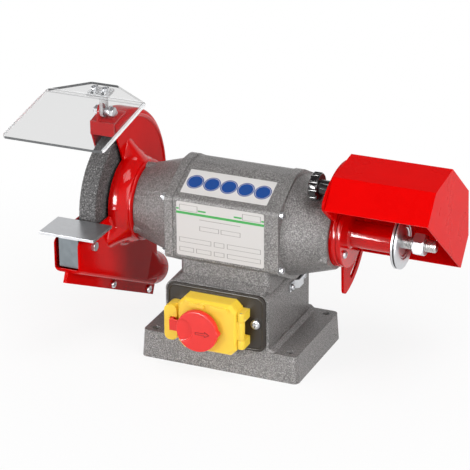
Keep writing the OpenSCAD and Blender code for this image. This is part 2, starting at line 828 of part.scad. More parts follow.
// Pivot collar of the hood, second disc and the tube, turned in one
module spindle_tube() {
    r = collar_d / 2;
    x1 = collar_t;
    x2 = collar_t + groove_t;
    x3 = 2 * collar_t + groove_t;
    color("red") on_axis(collar_x) difference() {
        rotate_extrude($fn = 96) polygon([[tube_bore / 2, 0], [r, 0], [r, x1], [r - 1.2, x1],
            [r - 1.2, x2], [r - 0.1, x2], [r - 0.1, x3 - 0.6], [r - 0.7, x3], [tube_d / 2 + 2, x3],
            [tube_d / 2, x3 + 2], [tube_d / 2, x3 + tube_len - 0.6],
            [tube_d / 2 - 0.6, x3 + tube_len], [tube_bore / 2, x3 + tube_len]]);
        for (a = turns) rotate(a) translate([tube_screw_r, 0, -over])
            cylinder(h = x3 + 2 * over, d = m5 + 2 * slack, $fn = 32);
    }
}

module tube_screws() {
    color("silver") on_axis(tube_x) for (a = turns) rotate(a)
        translate([tube_screw_r, 0, 0]) pan_screw(m5, 9, 3.2, tube_x - nose_r + 14);
}

// Black plate behind the switch
module switch_plate() {
    color([0.1, 0.1, 0.1]) on_front(plate_y) linear_extrude(plate_t) difference() {
        translate([plate_x, switch_z]) rounded(plate_w, plate_h, 9);
        translate([lid_x, lid_z]) rounded(window_w, window_h, 2);
        for (x = plate_screw_x) translate([x, switch_z]) circle(d = 5 + 2 * slack);
    }
}

module plate_screws() {
    color("silver") on_front(frame_y) for (x = plate_screw_x)
        translate([x, switch_z, 0]) pan_screw(5, 11, 3.6, 14);
}

// Fixed yellow frame with the latch ear on the left and the hinge knuckles on the right
module switch_frame() {
    web_x = lid_x + lid_w / 2 - 1;
    color("gold") difference() {
        union() {
            on_front(frame_y) translate([lid_x, lid_z, 0]) linear_extrude(frame_t)
                polygon(cut_corners(lid_w, lid_h, 7));
            on_front(frame_y) translate([ear_c, disc_z, 0]) linear_extrude(frame_t + 7)
                rounded(15, 42, 6.5);
            on_front(frame_y) translate([ear_c + 1, disc_z - 21, 0]) cube([10, 42, frame_t]);
            for (z = [-17, 15]) {
                translate([web_x, hinge_y, disc_z + z])
                    cube([hinge_x + hinge_r - web_x, frame_y - hinge_y, 10]);
                translate([hinge_x, hinge_y, disc_z + z]) cylinder(h = 10, r = hinge_r);
            }
        }
        on_front(frame_y + over) translate([lid_x, lid_z, 0]) linear_extrude(frame_t + 2 * over)
            rounded(window_w + 6, window_h + 6, 3);
        // Room for the lid's edge beside the knuckles
        translate([lid_x, lid_y - 20 + gap, lid_z - 40]) cube([lid_w / 2 + gap, 20, 80]);
        // Pocket over the left plate screw
        on_front(frame_y + over) translate([ear_c, switch_z, 0]) cylinder(h = 5 + over, d = 12);
        // Open slot for the latch
        on_front(frame_y - frame_t - 1) translate([ear_c - 1, disc_z - 7.2, 0]) cube([14, 14.4, 12]);
        translate([hinge_x, hinge_y, lid_z - 40]) cylinder(h = 80, d = pin_d + 2 * run, $fn = 32);
    }
}

// Contact block with the wells of the two buttons
module switch_module() {
    color([0.15, 0.15, 0.15]) difference() {
        union() {
            on_front(frame_y) translate([lid_x, lid_z, 0]) linear_extrude(4)
                rounded(window_w + 4, window_h + 4, 3);
            on_front(frame_y + 36) translate([lid_x, lid_z, 0]) linear_extrude(37)
                rounded(window_w - 0.4, window_h - 0.4, 2);
        }
        for (x = [stop_x, start_x]) on_front(frame_y + 8) translate([x, disc_z, 0])
            cylinder(h = 20, d = button_d + 2 * slack);
    }
}

// A push button whose front stands at depth y
module push_button(x, y) {
    translate([x, 0, disc_z]) on_front(frame_y + 3)
        rotate_extrude() polygon([[0, 0], [button_d / 2, 0], [button_d / 2, frame_y + 2 - y],
            [button_d / 2 - 1, frame_y + 3 - y], [0, frame_y + 3 - y]]);
}

module stop_button() {
    color("red") push_button(stop_x, lid_y - 2.6);
}

module start_button() {
    color("green") push_button(start_x, lid_y + 0.4);
}

// Hinged yellow cover
module switch_lid() {
    mid_h = 21.4;
    mid_z = disc_z + 4 - mid_h / 2;
    color("gold") difference() {
        union() {
            on_front(lid_y) translate([lid_x, lid_z, 0]) hull() {
                linear_extrude(lid_t - 3) polygon(cut_corners(lid_w, lid_h, 7));
                linear_extrude(lid_t) polygon(cut_corners(lid_w - 5, lid_h - 5, 7));
            }
            translate([hinge_x - hinge_r - 4, hinge_y - 2.5, mid_z]) cube([hinge_r + 4, 5, mid_h]);
            translate([hinge_x, hinge_y, mid_z]) cylinder(h = mid_h, r = hinge_r);
        }
        on_front(lid_y + over) translate([lid_x, lid_z, 0]) linear_extrude(lid_t - lid_wall + over)
            polygon(cut_corners(lid_w - 2 * lid_wall, lid_h - 2 * lid_wall, 6));
        // Slot for the plunger
        on_front(lid_y) translate([disc_x, disc_z, 0]) linear_extrude(lid_t + over) {
            circle(d = plunger_d + 2 * gap);
            translate([latch_travel, 0]) circle(d = plunger_d + 2 * gap);
            translate([0, -plunger_d / 2 - gap]) square([latch_travel, plunger_d + 2 * gap]);
        }
        translate([hinge_x, hinge_y, lid_z - 40]) cylinder(h = 80, d = pin_d + 2 * run, $fn = 32);
    }
}

module hinge_pin() {
    color("silver") translate([hinge_x, hinge_y, disc_z - 16.6])
        cylinder(h = 41.2, d = pin_d, $fn = 32);
}

// Red latch behind the disc; its tongue lies in the left ear
module latch_bar() {
    tip = -47.5;
    color("crimson") difference() {
        union() {
            on_front(face_y - gap) linear_extrude(bar_t) {
                translate([disc_x, disc_z]) circle(9);
                translate([tip, disc_z - 6.5]) square([disc_x - tip, 13]);
            }
            on_front(lid_y - 3) translate([tip, disc_z - 6.5, 0])
                cube([3.5, 13, lid_t - 3 + gap + bar_t]);
        }
        on_front(lid_y) translate([disc_x, disc_z, 0]) cylinder(h = 20, d = plunger_d + 2 * run);
    }
}

// Red stop disc with its plunger, thumb recess and pointed side
module stop_disc() {
    r = disc_d / 2;
    color("red") difference() {
        on_front(disc_y) translate([disc_x, disc_z, 0]) {
            rotate_extrude($fn = 96) polygon([[0, 0], [r - 0.8, 0], [r, 0.8], [r, disc_t - 1.6],
                [r - 0.5, disc_t - 0.6], [r - 1.8, disc_t], [0, disc_t + 0.6]]);
            linear_extrude(disc_t - 1) polygon([[r * 0.86, 8], [r + 2.4, 0.8], [r + 2.4, -0.8],
                [r * 0.86, -8]]);
        }
        // Hollow back, and the notch over the latch
        on_front(disc_y + over) translate([disc_x, disc_z, 0])
            cylinder(h = disc_t - 2.5 + over, r = r - 2.5, $fn = 96);
        on_front(disc_y + over) translate([disc_x - r - 2, disc_z - 7, 0])
            cube([12, 14, press_travel + over + 0.5]);
        // Thumb recess
        on_front(disc_y) translate([disc_x - r * 0.62, disc_z, disc_t + 38.7]) sphere(40);
    }
    color("red") on_front(lid_y - 3.2) translate([disc_x, disc_z, 0])
        cylinder(h = lid_y - 3.2 - disc_y + disc_t - 1, d = plunger_d, $fn = 48);
}

// Saddle clamp on the pedestal's right side
module saddle_clamp() {
    x = plate_x + plate_w / 2 + 3;
    color("silver") translate([x, 0, clamp_z - 5]) difference() {
        linear_extrude(10) polygon([[0, -5], [1.5, -5], [1.5, 8], [6, 10.5], [6, 23.5], [1.5, 26],
            [1.5, 39], [0, 39], [0, 25], [4.5, 22.5], [4.5, 11.5], [0, 9]]);
        for (y = [0, 34]) translate([-over, y, 5]) rotate([0, 90, 0])
            cylinder(h = 5, d = 4 + 2 * slack, $fn = 32);
    }
}

module clamp_screws() {
    color("silver") for (y = [0, 34])
        translate([plate_x + plate_w / 2 + 4.5, y, clamp_z]) rotate([0, 90, 0]) pan_screw(4, 8, 3, 11);
}

// The spindle, turned with all its seats
module spindle() {
    s = seat_d / 2;
    j = journal_d / 2;
    p = polish_d / 2;
    c = core_d / 2;
    color("silver") on_axis() rotate_extrude() polygon([
        [0, shaft_l], [s - 1, shaft_l], [s, shaft_l + 1], [s, shoulder_l], [11, shoulder_l],
        [11, shoulder_l + 4], [j, shoulder_l + 4], [j, brg_l + bearing_w], [c, brg_l + bearing_w],
        [c, brg_r], [j, brg_r], [j, brg_r + bearing_w + 6], [8, brg_r + bearing_w + 6],
        [8, shoulder_r - 1.2], [9.5, shoulder_r - 1.2], [9.5, shoulder_r], [p, shoulder_r],
        [p, shaft_r - 1], [p - 1, shaft_r], [0, shaft_r]]);
}

module rotor_core() {
    color("slategray") on_axis(body_mid - core_len / 2) difference() {
        union() {
            cylinder(h = core_len, r = rotor_r, $fn = 96);
            translate([0, 0, -5]) cylinder(h = core_len + 10, r = rotor_r - 4, $fn = 96);
        }
        translate([0, 0, -10]) cylinder(h = core_len + 20, d = core_d + 0.04);
    }
}

module grinding_wheel() {
    r = wheel_d / 2;
    b = seat_d / 2 + 0.02;
    color("darkslategray") on_axis(wheel_l) rotate_extrude($fn = 120)
        polygon([[b, 0], [r - 0.8, 0], [r, 0.8], [r, wheel_w - 0.8], [r - 0.8, wheel_w], [b, wheel_w]]);
}

module wheel_blotters() {
    color("linen") for (x = [wheel_l - blotter_t, wheel_r]) on_axis(x) linear_extrude(blotter_t)
        difference() {
            circle(d = wheel_flange_d + 3, $fn = 96);
            circle(d = seat_d + 0.04);
        }
}

// Recessed steel flange; it is drawn with its wheel side at z = 0
module wheel_flange() {
    r = wheel_flange_d / 2;
    b = seat_d / 2 + 0.02;
    rotate_extrude($fn = 96) polygon([[b, 1.2], [r - 9, 1.2], [r - 8, 0], [r, 0], [r, 2.4],
        [r - 2, 3.4], [16, flange_w - 1], [15, flange_w], [b, flange_w]]);
}

module inner_flange() {
    color("silver") on_axis(wheel_r + blotter_t) wheel_flange();
}

module outer_flange() {
    color("silver") on_axis(wheel_l - blotter_t) mirror([0, 0, 1]) wheel_flange();
}

module wheel_nut() {
    color("silver") difference() {
        hex_x(nut_l, nut_w, nut_af);
        round_x(nut_l - over, nut_w + 2 * over, seat_d + 0.04);
    }
}

// Two cupped flanges that clamp a polishing mop
module polish_flanges() {
    r = polish_flange_d / 2;
    b = polish_d / 2 + 0.02;
    color("silver") on_axis(shoulder_r) rotate_extrude($fn = 96)
        polygon([[b, 0], [r - 9, 0], [r - 1, 0.8], [r, 1.4], [r, pflange_t - 1.3],
            [r - 1.3, pflange_t], [r - 8, pflange_t], [r - 9, pflange_t - 1], [b, pflange_t - 1]]);
    color("silver") on_axis(shoulder_r + pflange_t + run) rotate_extrude($fn = 96)
        polygon([[b, 1], [r - 9, 1], [r - 8, 0], [r - 1.3, 0], [r, 1.3], [r, pflange_t - 1.2],
            [r - 1, pflange_t - 0.4], [r - 9, pflange_t], [r - 11, pflange_t], [r - 12, pflange_t - 0.8],
            [r - 14, pflange_t - 0.8], [r - 15, 2], [b, 2]]);
}

module polish_nut() {
    color("silver") difference() {
        hex_x(pnut_x, pnut_w, pnut_af);
        round_x(pnut_x - over, pnut_w + 2 * over, polish_d + 0.04);
    }
}

// Places its children in the plane of the eye shield, with Y to the back
module on_shield(x) {
    translate([x, bend[0], axis_h + bend[1]]) rotate([tilt, 0, 0]) children();
}

// Clear pane; behind the bend it narrows to the slotted flap
module eye_shield() {
    w = shield_w / 2;
    f = flap_w / 2;
    d = flap_x - shield_x;
    color([0.8, 0.9, 1, 0.35]) on_shield(shield_x) linear_extrude(shield_t) difference() {
        polygon(round_pts([[-w, -shield_len], [w, -shield_len], [w, 0],
            [d + f, flap_len], [d - f, flap_len], [-w, 0]], 5));
        for (x = [-6.5, 6.5]) translate([d + x, flap_len / 2 + 1]) {
            square([5, 10], center = true);
            for (y = [-5, 5]) translate([0, y]) circle(d = 5, $fn = 32);
        }
    }
}

// Leg between the pane and the pivot bolt
module shield_leg() {
    color([0.85, 0.92, 1, 0.5]) difference() {
        union() {
            on_axis(leg_x) linear_extrude(leg_t) {
                translate(pivot) circle(7);
                polygon([[pivot[0] - 7, pivot[1]], [pivot[0] + 7, pivot[1]],
                    [pivot[0] + 7, bend[1] + (pivot[0] + 7 - bend[0]) * tan(tilt) - 2],
                    [pivot[0] - 7, bend[1] + (pivot[0] - 7 - bend[0]) * tan(tilt) - 2]]);
            }
            on_shield(flap_x) translate([-13, 7, -3]) cube([26, 18, 3]);
        }
        round_x(leg_x - over, leg_t + 2 * over, pivot_d + 2 * run, pivot[0], pivot[1], $fn = 48);
        on_shield(flap_x) for (x = [-6.5, 6.5]) translate([x, flap_len / 2 + 1, -4])
            cylinder(h = 5, d = 4 + 2 * run, $fn = 32);
    }
}

module leg_screws() {
    color("silver") on_shield(flap_x) for (x = [-6.5, 6.5])
        translate([x, flap_len / 2 + 1, shield_t]) pan_screw(4, 8, 2.6, shield_t + 3);
}

// Bent plate: table, front apron and the slotted cheek inside the guard
module tool_rest() {
    top = axis_h + rest_top;
    color("silver") difference() {
        union() {
            translate([seam_x - rest_w / 2, rest_front, top - rest_t]) cube([rest_w, rest_d, rest_t]);
            translate([cheek_x + rest_t - 23.5, rest_front + 1, top - rest_t - 34])
                cube([23.5, rest_t, 34 + rest_t]);
            translate([cheek_x, rest_front + 1, top - rest_t - cheek_h])
                cube([rest_t, rest_d, cheek_h + rest_t]);
        }
        on_axis(cheek_x - over) linear_extrude(rest_t + 2 * over) {
            for (y = [-rest_in, rest_out]) translate([rest_bolt[0] + y, rest_bolt[1]])
                circle(d = 6 + 2 * slack, $fn = 48);
            translate([rest_bolt[0] - rest_in, rest_bolt[1] - 3 - slack])
                square([rest_in + rest_out, 6 + 2 * slack]);
        }
    }
}

// Section of the hood in its own turned frame
function hood_pts(i) = [
    [-hood_half + i, 0], [-hood_half + i, hood_low - i * 0.4],
    [-hood_crest + i * 0.4, hood_depth - i], [hood_crest - i * 0.4, hood_depth - i],
    [hood_half - i, hood_low - i * 0.4], [hood_half - i, 0]];

// Sheet-metal hood: both end plates and the folded cover
module hood() {
    color("red") difference() {
        on_axis(hood_x) rotate(-hood_tilt) difference() {
            linear_extrude(hood_len) polygon(hood_pts(0));
            translate([0, 0, hood_t]) linear_extrude(hood_len - 2 * hood_t)
                polygon(concat([[-hood_half + hood_t, -over]], hood_pts(hood_t),
                    [[hood_half - hood_t, -over]]));
        }
        round_x(hood_x - over, hood_t + 2 * over, collar_d + 0.2, $fn = 96);
        on_axis(hood_x - over) for (a = [knob_angle, guide_angle]) rotate(a)
            translate([slot_r, 0, 0]) cylinder(h = hood_t + 2 * over, d = hood_bolt_d + 2 * run);
    }
}

module knob_bolt() {
    color("silver") on_axis(hood_x + hood_t) rotate(knob_angle) translate([slot_r, 0, 0]) {
        rotate_extrude() polygon([[0, 0], [8, 0], [7.4, 2.2], [5, 3.6], [0, 4.2]]);
        translate([0, 0, -23]) cylinder(h = 24, d = hood_bolt_d);
    }
}

module guide_bolt() {
    y = slot_r * cos(guide_angle);
    z = slot_r * sin(guide_angle);
    color("silver") {
        on_axis(hood_x + hood_t) translate([y, z, 0]) {
            rotate_extrude() polygon([[0, 0], [8, 0], [7.4, 2.2], [5, 3.6], [0, 4.2]]);
            translate([0, 0, -15]) cylinder(h = 16, d = hood_bolt_d);
        }
        difference() {
            union() {
                hex_x(sector_x - gap - 8.1, 6.5, 13, y, z);
                round_x(sector_x - gap - 1.6, 1.6, 17, y, z);
            }
            round_x(sector_x - 12, 14, hood_bolt_d + 2 * run, y, z);
        }
    }
}

// Fluted clamp knob
module clamp_knob() {
    len = 10;
    hub = 11;
    color([0.08, 0.08, 0.08]) on_axis(sector_x - gap - hub - len) rotate(knob_angle)
        translate([slot_r, 0, 0]) difference() {
            rotate_extrude() polygon([[0, 0], [knob_d / 2 - 1.5, 0], [knob_d / 2, 1.5],
                [knob_d / 2, len - 1.5], [knob_d / 2 - 1.5, len], [8, len], [8, len + hub],
                [0, len + hub]]);
            for (i = [0:11]) rotate(i * 30) translate([knob_d / 2 + 0.9, 0, -over])
                cylinder(h = len + 2 * over, r = 2.3, $fn = 24);
            translate([0, 0, 3]) cylinder(h = 30, d = hood_bolt_d + 2 * run);
        }
}

base_casting();
base_cover();
cover_screws();
motor_body();
left_bell();
right_bell();
tie_bolts();
tie_nuts();
stator_core();
stator_windings();
capacitor();
cable_gland();
bearing_outers();
bearing_balls();
wave_washer();
guard_inner_half();
guard_outer_half();
seam_screws();
guard_screws();
spark_arrester();
arrester_screw();
shield_bolt();
rest_clamp_bolt();
sector_plate();
spindle_tube();
tube_screws();
switch_plate();
plate_screws();
switch_frame();
switch_module();
hinge_pin();
saddle_clamp();
clamp_screws();
spindle();
rotor_core();
bearing_inners();
grinding_wheel();
wheel_blotters();
inner_flange();
outer_flange();
wheel_nut();
polish_flanges();
polish_nut();
eye_shield();
shield_leg();
leg_screws();
tool_rest();
hood();
knob_bolt();
guide_bolt();
clamp_knob();
switch_lid();
latch_bar();
stop_disc();
stop_button();
start_button();
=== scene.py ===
import math

import bmesh
import bpy
import numpy as np
from bpy.props import FloatProperty, FloatVectorProperty, IntProperty, PointerProperty
from mathutils import Matrix, Vector


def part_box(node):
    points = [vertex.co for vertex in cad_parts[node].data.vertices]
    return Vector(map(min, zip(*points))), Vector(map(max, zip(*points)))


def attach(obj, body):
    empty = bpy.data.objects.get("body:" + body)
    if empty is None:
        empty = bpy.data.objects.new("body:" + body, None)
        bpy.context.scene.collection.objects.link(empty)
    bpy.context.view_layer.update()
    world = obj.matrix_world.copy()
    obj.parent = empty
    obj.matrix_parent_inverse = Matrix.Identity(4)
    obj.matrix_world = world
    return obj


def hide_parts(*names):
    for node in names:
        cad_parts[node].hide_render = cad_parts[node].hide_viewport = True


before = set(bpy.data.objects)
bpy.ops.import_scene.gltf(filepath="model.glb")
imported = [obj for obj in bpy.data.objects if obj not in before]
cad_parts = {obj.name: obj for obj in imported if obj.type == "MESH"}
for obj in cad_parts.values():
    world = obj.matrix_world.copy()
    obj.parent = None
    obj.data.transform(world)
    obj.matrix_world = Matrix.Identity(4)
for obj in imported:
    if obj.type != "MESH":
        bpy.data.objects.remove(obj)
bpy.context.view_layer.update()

bl_info = {
    "name": "Bench grinder looks",
    "version": (1, 0, 0),
    "blender": (4, 5, 0),
    "location": "View3D > Sidebar > Grinder",
    "description": "Dresses the packed bench grinder with finishes, plates and turned detail",
    "category": "Object",
}

MM = 0.001
AXIS_Z = 0.16  # height of the spindle's line
GUARD_SIDE = -135.5  # side plate of the guard along X, in millimetres
PANE_TILT = math.radians(9.7)  # slope of the eye shield's pane
BEND_Y = -38.5 * MM  # bend line of the pane
REST_BEND_Z = 155.2 * MM  # below it the tool rest is its bent apron
CUT_EDGE = 0.8  # a face of a clear part is a cut edge where its cosine is below this
CLEAR = (0.05, 0.052, 0.055)
PALETTE = {
    "enamel": (0.178, 0.17, 0.166),
    "enamel_dark": (0.1, 0.096, 0.093),
    "red": (0.62, 0.001, 0.001),
    "hood_red": (0.74, 0.001, 0.001),
    "yellow": (1.0, 0.67, 0.055),
    "signal_red": (0.86, 0.03, 0.025),
    "green": (0.03, 0.35, 0.09),
    "black": (0.034, 0.027, 0.021),
    "zinc": (0.62, 0.63, 0.65),
    "steel": (0.56, 0.55, 0.54),
    "plate": (0.66, 0.64, 0.625),
    "stripe": (0.05, 0.4, 0.08),
    "sign_blue": (0.008, 0.06, 0.27),
    "grit": (0.072, 0.069, 0.069),
}

# Places on the frame, some read from its boxes. The disc's are in millimetres.
BODY_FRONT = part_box("motor_body")[0][1]
PLATE = {"left": -50 * MM, "right": 52.5 * MM, "top": 192.3 * MM, "bottom": 129.5 * MM}
SLOPE = math.atan2(25, 49)
SIGN = {"edge": (BODY_FRONT, 195 * MM), "along": (math.cos(SLOPE), math.sin(SLOPE)),
        "middle": 26.2 * MM, "half": 16.9 * MM, "left": -49 * MM, "right": 52 * MM,
        "first": -37.6 * MM, "step": 19.8 * MM, "radius": 9.7 * MM}
PANE_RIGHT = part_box("eye_shield")[1][0]
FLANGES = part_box("polish_flanges")
DISC_LOW, DISC_HIGH = (np.array(corner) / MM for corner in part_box("stop_disc"))
DISC = {"x": DISC_LOW[0] + 24.0, "z": (DISC_LOW[2] + DISC_HIGH[2]) / 2, "radius": 24.0,
        "back": DISC_LOW[1] + 6.9, "stem": DISC_HIGH[1]}

# Place and width of each lamp, in metres; they all point at the same spot
LAMPS = {"key": ((-1.5, -2.1, 0.95), 1.1), "fill": ((2.1, -0.9, 1.0), 1.4),
         "top": ((0.7, -0.5, 2.3), 1.1), "side": ((-2.0, -0.3, 0.45), 0.6),
         "gleam": ((-0.55, -2.35, 0.62), 0.85)}
LAMP_AIM = (0, 0, 0.13)
AMBIENT = 0.22  # strength of the world as a light


def colour(name, label):
    """A colour the user can change, from the palette."""
    return FloatVectorProperty(name=label, description=f"Colour of the {label.lower()}",
                               default=PALETTE[name], size=3, min=0, max=1, subtype="COLOR")


def length(label, millimetres, what):
    """A length the user can change, given in millimetres."""
    return FloatProperty(name=label, description=what, default=millimetres * MM, min=0,
                         precision=5, subtype="DISTANCE", unit="LENGTH")


def power(label, watts, lamp):
    """The power of a lamp, which the user can change."""
    return FloatProperty(name=label, description=f"Power of the {lamp}", default=watts,
                         subtype="POWER", unit="POWER")


class GrinderColours(bpy.types.PropertyGroup):
    """Colours of the finishes."""
    enamel: colour("enamel", "Casting enamel")
    enamel_dark: colour("enamel_dark", "Enamel's hollows")
    red: colour("red", "Guard paint")
    hood_red: colour("hood_red", "Hood paint")
    yellow: colour("yellow", "Switch cover")
    signal_red: colour("signal_red", "Stop disc")
    green: colour("green", "Start button")
    black: colour("black", "Black mouldings")
    zinc: colour("zinc", "Zinc plating")
    steel: colour("steel", "Turned steel")
    plate: colour("plate", "Printed plates")
    stripe: colour("stripe", "Plate's stripes")
    sign_blue: colour("sign_blue", "Sign discs")
    grit: colour("grit", "Grinding wheel")


class GrinderDetails(bpy.types.PropertyGroup):
    """Sizes of the details that the frame doesn't have."""
    edge_cast: length("Cast edge", 1.2, "Rounding of the castings' edges")
    edge_sheet: length("Sheet edge", 0.35, "Rounding of the sheet-metal edges")
    edge_small: length("Small edge", 0.25, "Rounding of the small parts' edges")
    hammer: length("Hammer mark", 1.9, "Size of the marks in the hammered enamel")
    grain: length("Grain", 0.14, "Height of the wheel's grains")
    pitch_polish: length("Polishing thread", 2.0, "Pitch of the thread at the polishing end")
    pitch_wheel: length("Wheel thread", 2.0, "Pitch of the thread at the wheel end")
    plate_sheet: length("Plate", 0.3, "Thickness of the printed plates")
    segments: IntProperty(name="Segments", description="Steps of a rounded edge",
                          default=2, min=1, max=4)


class GrinderStage(bpy.types.PropertyGroup):
    """Camera and lamps."""
    eye: FloatVectorProperty(name="Camera", description="Place of the camera", size=3,
                             default=(0.9244, -2.1273, 1.1445), subtype="XYZ", unit="LENGTH")
    aim: FloatVectorProperty(name="Aim", description="Point the camera looks at", size=3,
                             default=(-0.0074, 0.0, 0.1348), subtype="XYZ", unit="LENGTH")
    roll: FloatProperty(name="Roll", description="Turn of the camera about its view",
                        default=math.radians(-0.37), subtype="ANGLE", unit="ROTATION")
    lens: FloatProperty(name="Lens", description="Focal length", default=176.17,
                        subtype="DISTANCE_CAMERA", unit="CAMERA")
    key: power("Key lamp", 26.0, "large lamp on the left")
    fill: power("Fill lamp", 30.0, "lamp on the right")
    side: power("Side lamp", 12.0, "small lamp at the left")
    top: power("Top lamp", 22.0, "lamp overhead")
    gleam: power("Gleam", 110.0, "lamp that only shows in gloss")


# ---- shader maths


class Value:
    """A number on a shader socket. Its operators add the Math nodes they stand for."""

    def __init__(self, finish, socket):
        self.finish = finish
        self.socket = socket

    def __add__(self, other):
        return self.finish.maths("ADD", self, other)

    __radd__ = __add__

    def __sub__(self, other):
        return self.finish.maths("SUBTRACT", self, other)

    def __rsub__(self, other):
        return self.finish.maths("SUBTRACT", other, self)

    def __mul__(self, other):
        return self.finish.maths("MULTIPLY", self, other)

    __rmul__ = __mul__

    def __truediv__(self, other):
        return self.finish.maths("DIVIDE", self, other)

    def __pow__(self, other):
        return self.finish.maths("POWER", self, other)

    def __lt__(self, other):
        return self.finish.maths("LESS_THAN", self, other)

    def __gt__(self, other):
        return self.finish.maths("GREATER_THAN", self, other)

    def __abs__(self):
        return self.finish.maths("ABSOLUTE", self)

    def sine(self):
        return self.finish.maths("SINE", self)

    def root(self):
        return self.finish.maths("SQRT", self)

    def clamp(self):
        return self.finish.node("ShaderNodeClamp", {}, {"Value": self})


class Finish:
    """A material with one Principled shader, built up node by node."""

    def __init__(self, name, base, roughness=0.5, metallic=0.0, **fixed):
        self.material = bpy.data.materials.new(name)
        self.material.use_nodes = True
        self.tree = self.material.node_tree
        self.tree.nodes.clear()
        output = self.tree.nodes.new("ShaderNodeOutputMaterial")
        self.surface = self.tree.nodes.new("ShaderNodeBsdfPrincipled")
        self.tree.links.new(self.surface.outputs[0], output.inputs[0])
        self.give({"Base Color": base, "Roughness": roughness, "Metallic": metallic})
        self.give({key.replace("_", " ").title().replace("Ior", "IOR"): value
                   for key, value in fixed.items()})
        self.place = self.node("ShaderNodeTexCoord", {}, {}, "Object").socket

    def give(self, values):
        """Sets or links sockets of the Principled shader."""
        for key, value in values.items():
            self.feed(self.surface.inputs[key], value)
        return self

    def feed(self, socket, value):
        """Links a socket to a shader value, or sets it to a number or a colour."""
        if isinstance(value, Value):
            value = value.socket
        if isinstance(value, bpy.types.NodeSocket):
            self.tree.links.new(value, socket)
        elif socket.type == "RGBA" and len(value) == 3:
            socket.default_value = (*value, 1.0)
        else:
            socket.default_value = value

    def node(self, kind, settings, values, out=0):
        """Adds a node: its settings first, then its sockets from values or links."""
        made = self.tree.nodes.new(kind)
        for key, value in settings.items():
            if key == "stops":
                ramp = made.color_ramp
                while len(ramp.elements) < len(value):
                    ramp.elements.new(0.5)
                for element, (place, shade) in zip(ramp.elements, value):
                    element.position = place
                    element.color = (*shade, 1.0)
            else:
                setattr(made, key, value)
        for key, value in values.items():
            self.feed(made.inputs[key], value)
        return Value(self, made.outputs[out])

    def maths(self, operation, *values):
        """A Math node on the given numbers."""
        return self.node("ShaderNodeMath", {"operation": operation}, dict(enumerate(values)))

    def axes(self, place=None):
        """The X, Y and Z of a place as three numbers."""
        split = self.tree.nodes.new("ShaderNodeSeparateXYZ")
        self.tree.links.new(place or self.place, split.inputs[0])
        return [Value(self, socket) for socket in split.outputs]

    def stretch(self, x, y, z):
        """Object coordinates scaled along each axis."""
        return self.node("ShaderNodeMapping", {}, {"Vector": self.place, "Scale": (x, y, z)}).socket

    def noise(self, size, detail=3.0, rough=0.5, place=None):
        """Noise from 0 to 1 whose features are about the given size."""
        return self.node("ShaderNodeTexNoise", {}, {
            "Vector": place or self.place, "Scale": 1 / size, "Detail": detail,
            "Roughness": rough})

    def cells(self, size, feature="F1"):
        """Distance inside Voronoi cells of the given size."""
        return self.node("ShaderNodeTexVoronoi", {"feature": feature},
                         {"Vector": self.place, "Scale": 1 / size})

    def ramp(self, value, *stops):
        """A colour ramp through (place, colour) stops."""
        return self.node("ShaderNodeValToRGB", {"stops": stops}, {"Fac": value})

    def mix(self, mask, first, second):
        """The first colour where the mask is 0, the second where it is 1."""
        made = self.tree.nodes.new("ShaderNodeMix")
        made.data_type = "RGBA"
        for socket, value in ((made.inputs[0], mask), (made.inputs[6], first),
                              (made.inputs[7], second)):
            self.feed(socket, value)
        return Value(self, made.outputs[2])

    def shades(self, mask, base, low, high):
        """A base colour times one factor where the mask is 0, another where it is 1."""
        return self.mix(mask, tint(base, low), tint(base, high))

    def bump(self, height, depth, strength):
        """Feeds the normal with a bump of the given depth in metres."""
        made = self.node("ShaderNodeBump", {}, {
            "Strength": strength, "Distance": depth, "Height": height}, "Normal")
        return self.give({"Normal": made})

    def span(self, value, low, high):
        """1 between two limits, 0 outside."""
        return (value > low) * (value < high)

    def outline(self, u, v, box, line):
        """1 on the border of a box (u0, v0, u1, v1), 0 elsewhere."""
        u0, v0, u1, v1 = box
        outer = self.span(u, u0, u1) * self.span(v, v0, v1)
        inner = self.span(u, u0 + line, u1 - line) * self.span(v, v0 + line, v1 - line)
        return outer - inner


def tint(base, factor):
    """A colour times a factor, kept below 1."""
    return tuple(min(1.0, part * factor) for part in base)


# ---- finishes


def hammered_enamel(look):
    """Grey enamel with a hammered peel: its gloss breaks up into small bright specks."""
    size = look.details.hammer
    made = Finish("hammered_enamel", look.colours.enamel, roughness=0.3,
                  specular_ior_level=0.5)
    cell = made.cells(size, "SMOOTH_F1")
    fine = made.noise(size * 0.6, 3.0, 0.65)
    broad = made.noise(size * 16, 2.0)
    contrast, level = 3.1, 0.25
    mottle = cell * 0.45 + (fine - 0.5) * contrast + broad * 0.06 + level
    made.give({"Base Color": made.ramp(
        mottle, (0.1, tint(look.colours.enamel, 2.0)), (0.45, look.colours.enamel),
        (0.8, look.colours.enamel_dark))})
    made.give({"Roughness": 0.2 + 0.2 * fine, "Metallic": 0.14 - 0.1 * cell})
    return made.bump(1 - mottle, 0.0003, 1.0).material


def powder_coat(name, base, rough, peel, shine):
    """Powder coat: an even colour with orange peel and faint rubbed patches."""
    made = Finish(name, base, roughness=rough, specular_ior_level=shine)
    broad = made.noise(0.03, 3.0)
    fine = made.noise(0.0011, 2.0)
    made.give({"Base Color": made.shades(broad, base, 0.9, 1.06),
               "Roughness": rough - 0.04 + 0.08 * broad})
    return made.bump(fine, peel, 0.5).material


def plating(name, base, rough):
    """Zinc plating: a bright metal with cloudy and finely lined roughness."""
    made = Finish(name, base, roughness=rough, metallic=1.0)
    cloud = made.noise(0.006, 4.0, 0.6)
    lines = made.noise(0.0007, 3.0, 0.6)
    made.give({"Base Color": made.shades(cloud, base, 0.86, 1.12),
               "Roughness": rough - 0.08 + 0.12 * cloud + 0.1 * lines})
    return made.bump(lines, 0.00003, 0.4).material


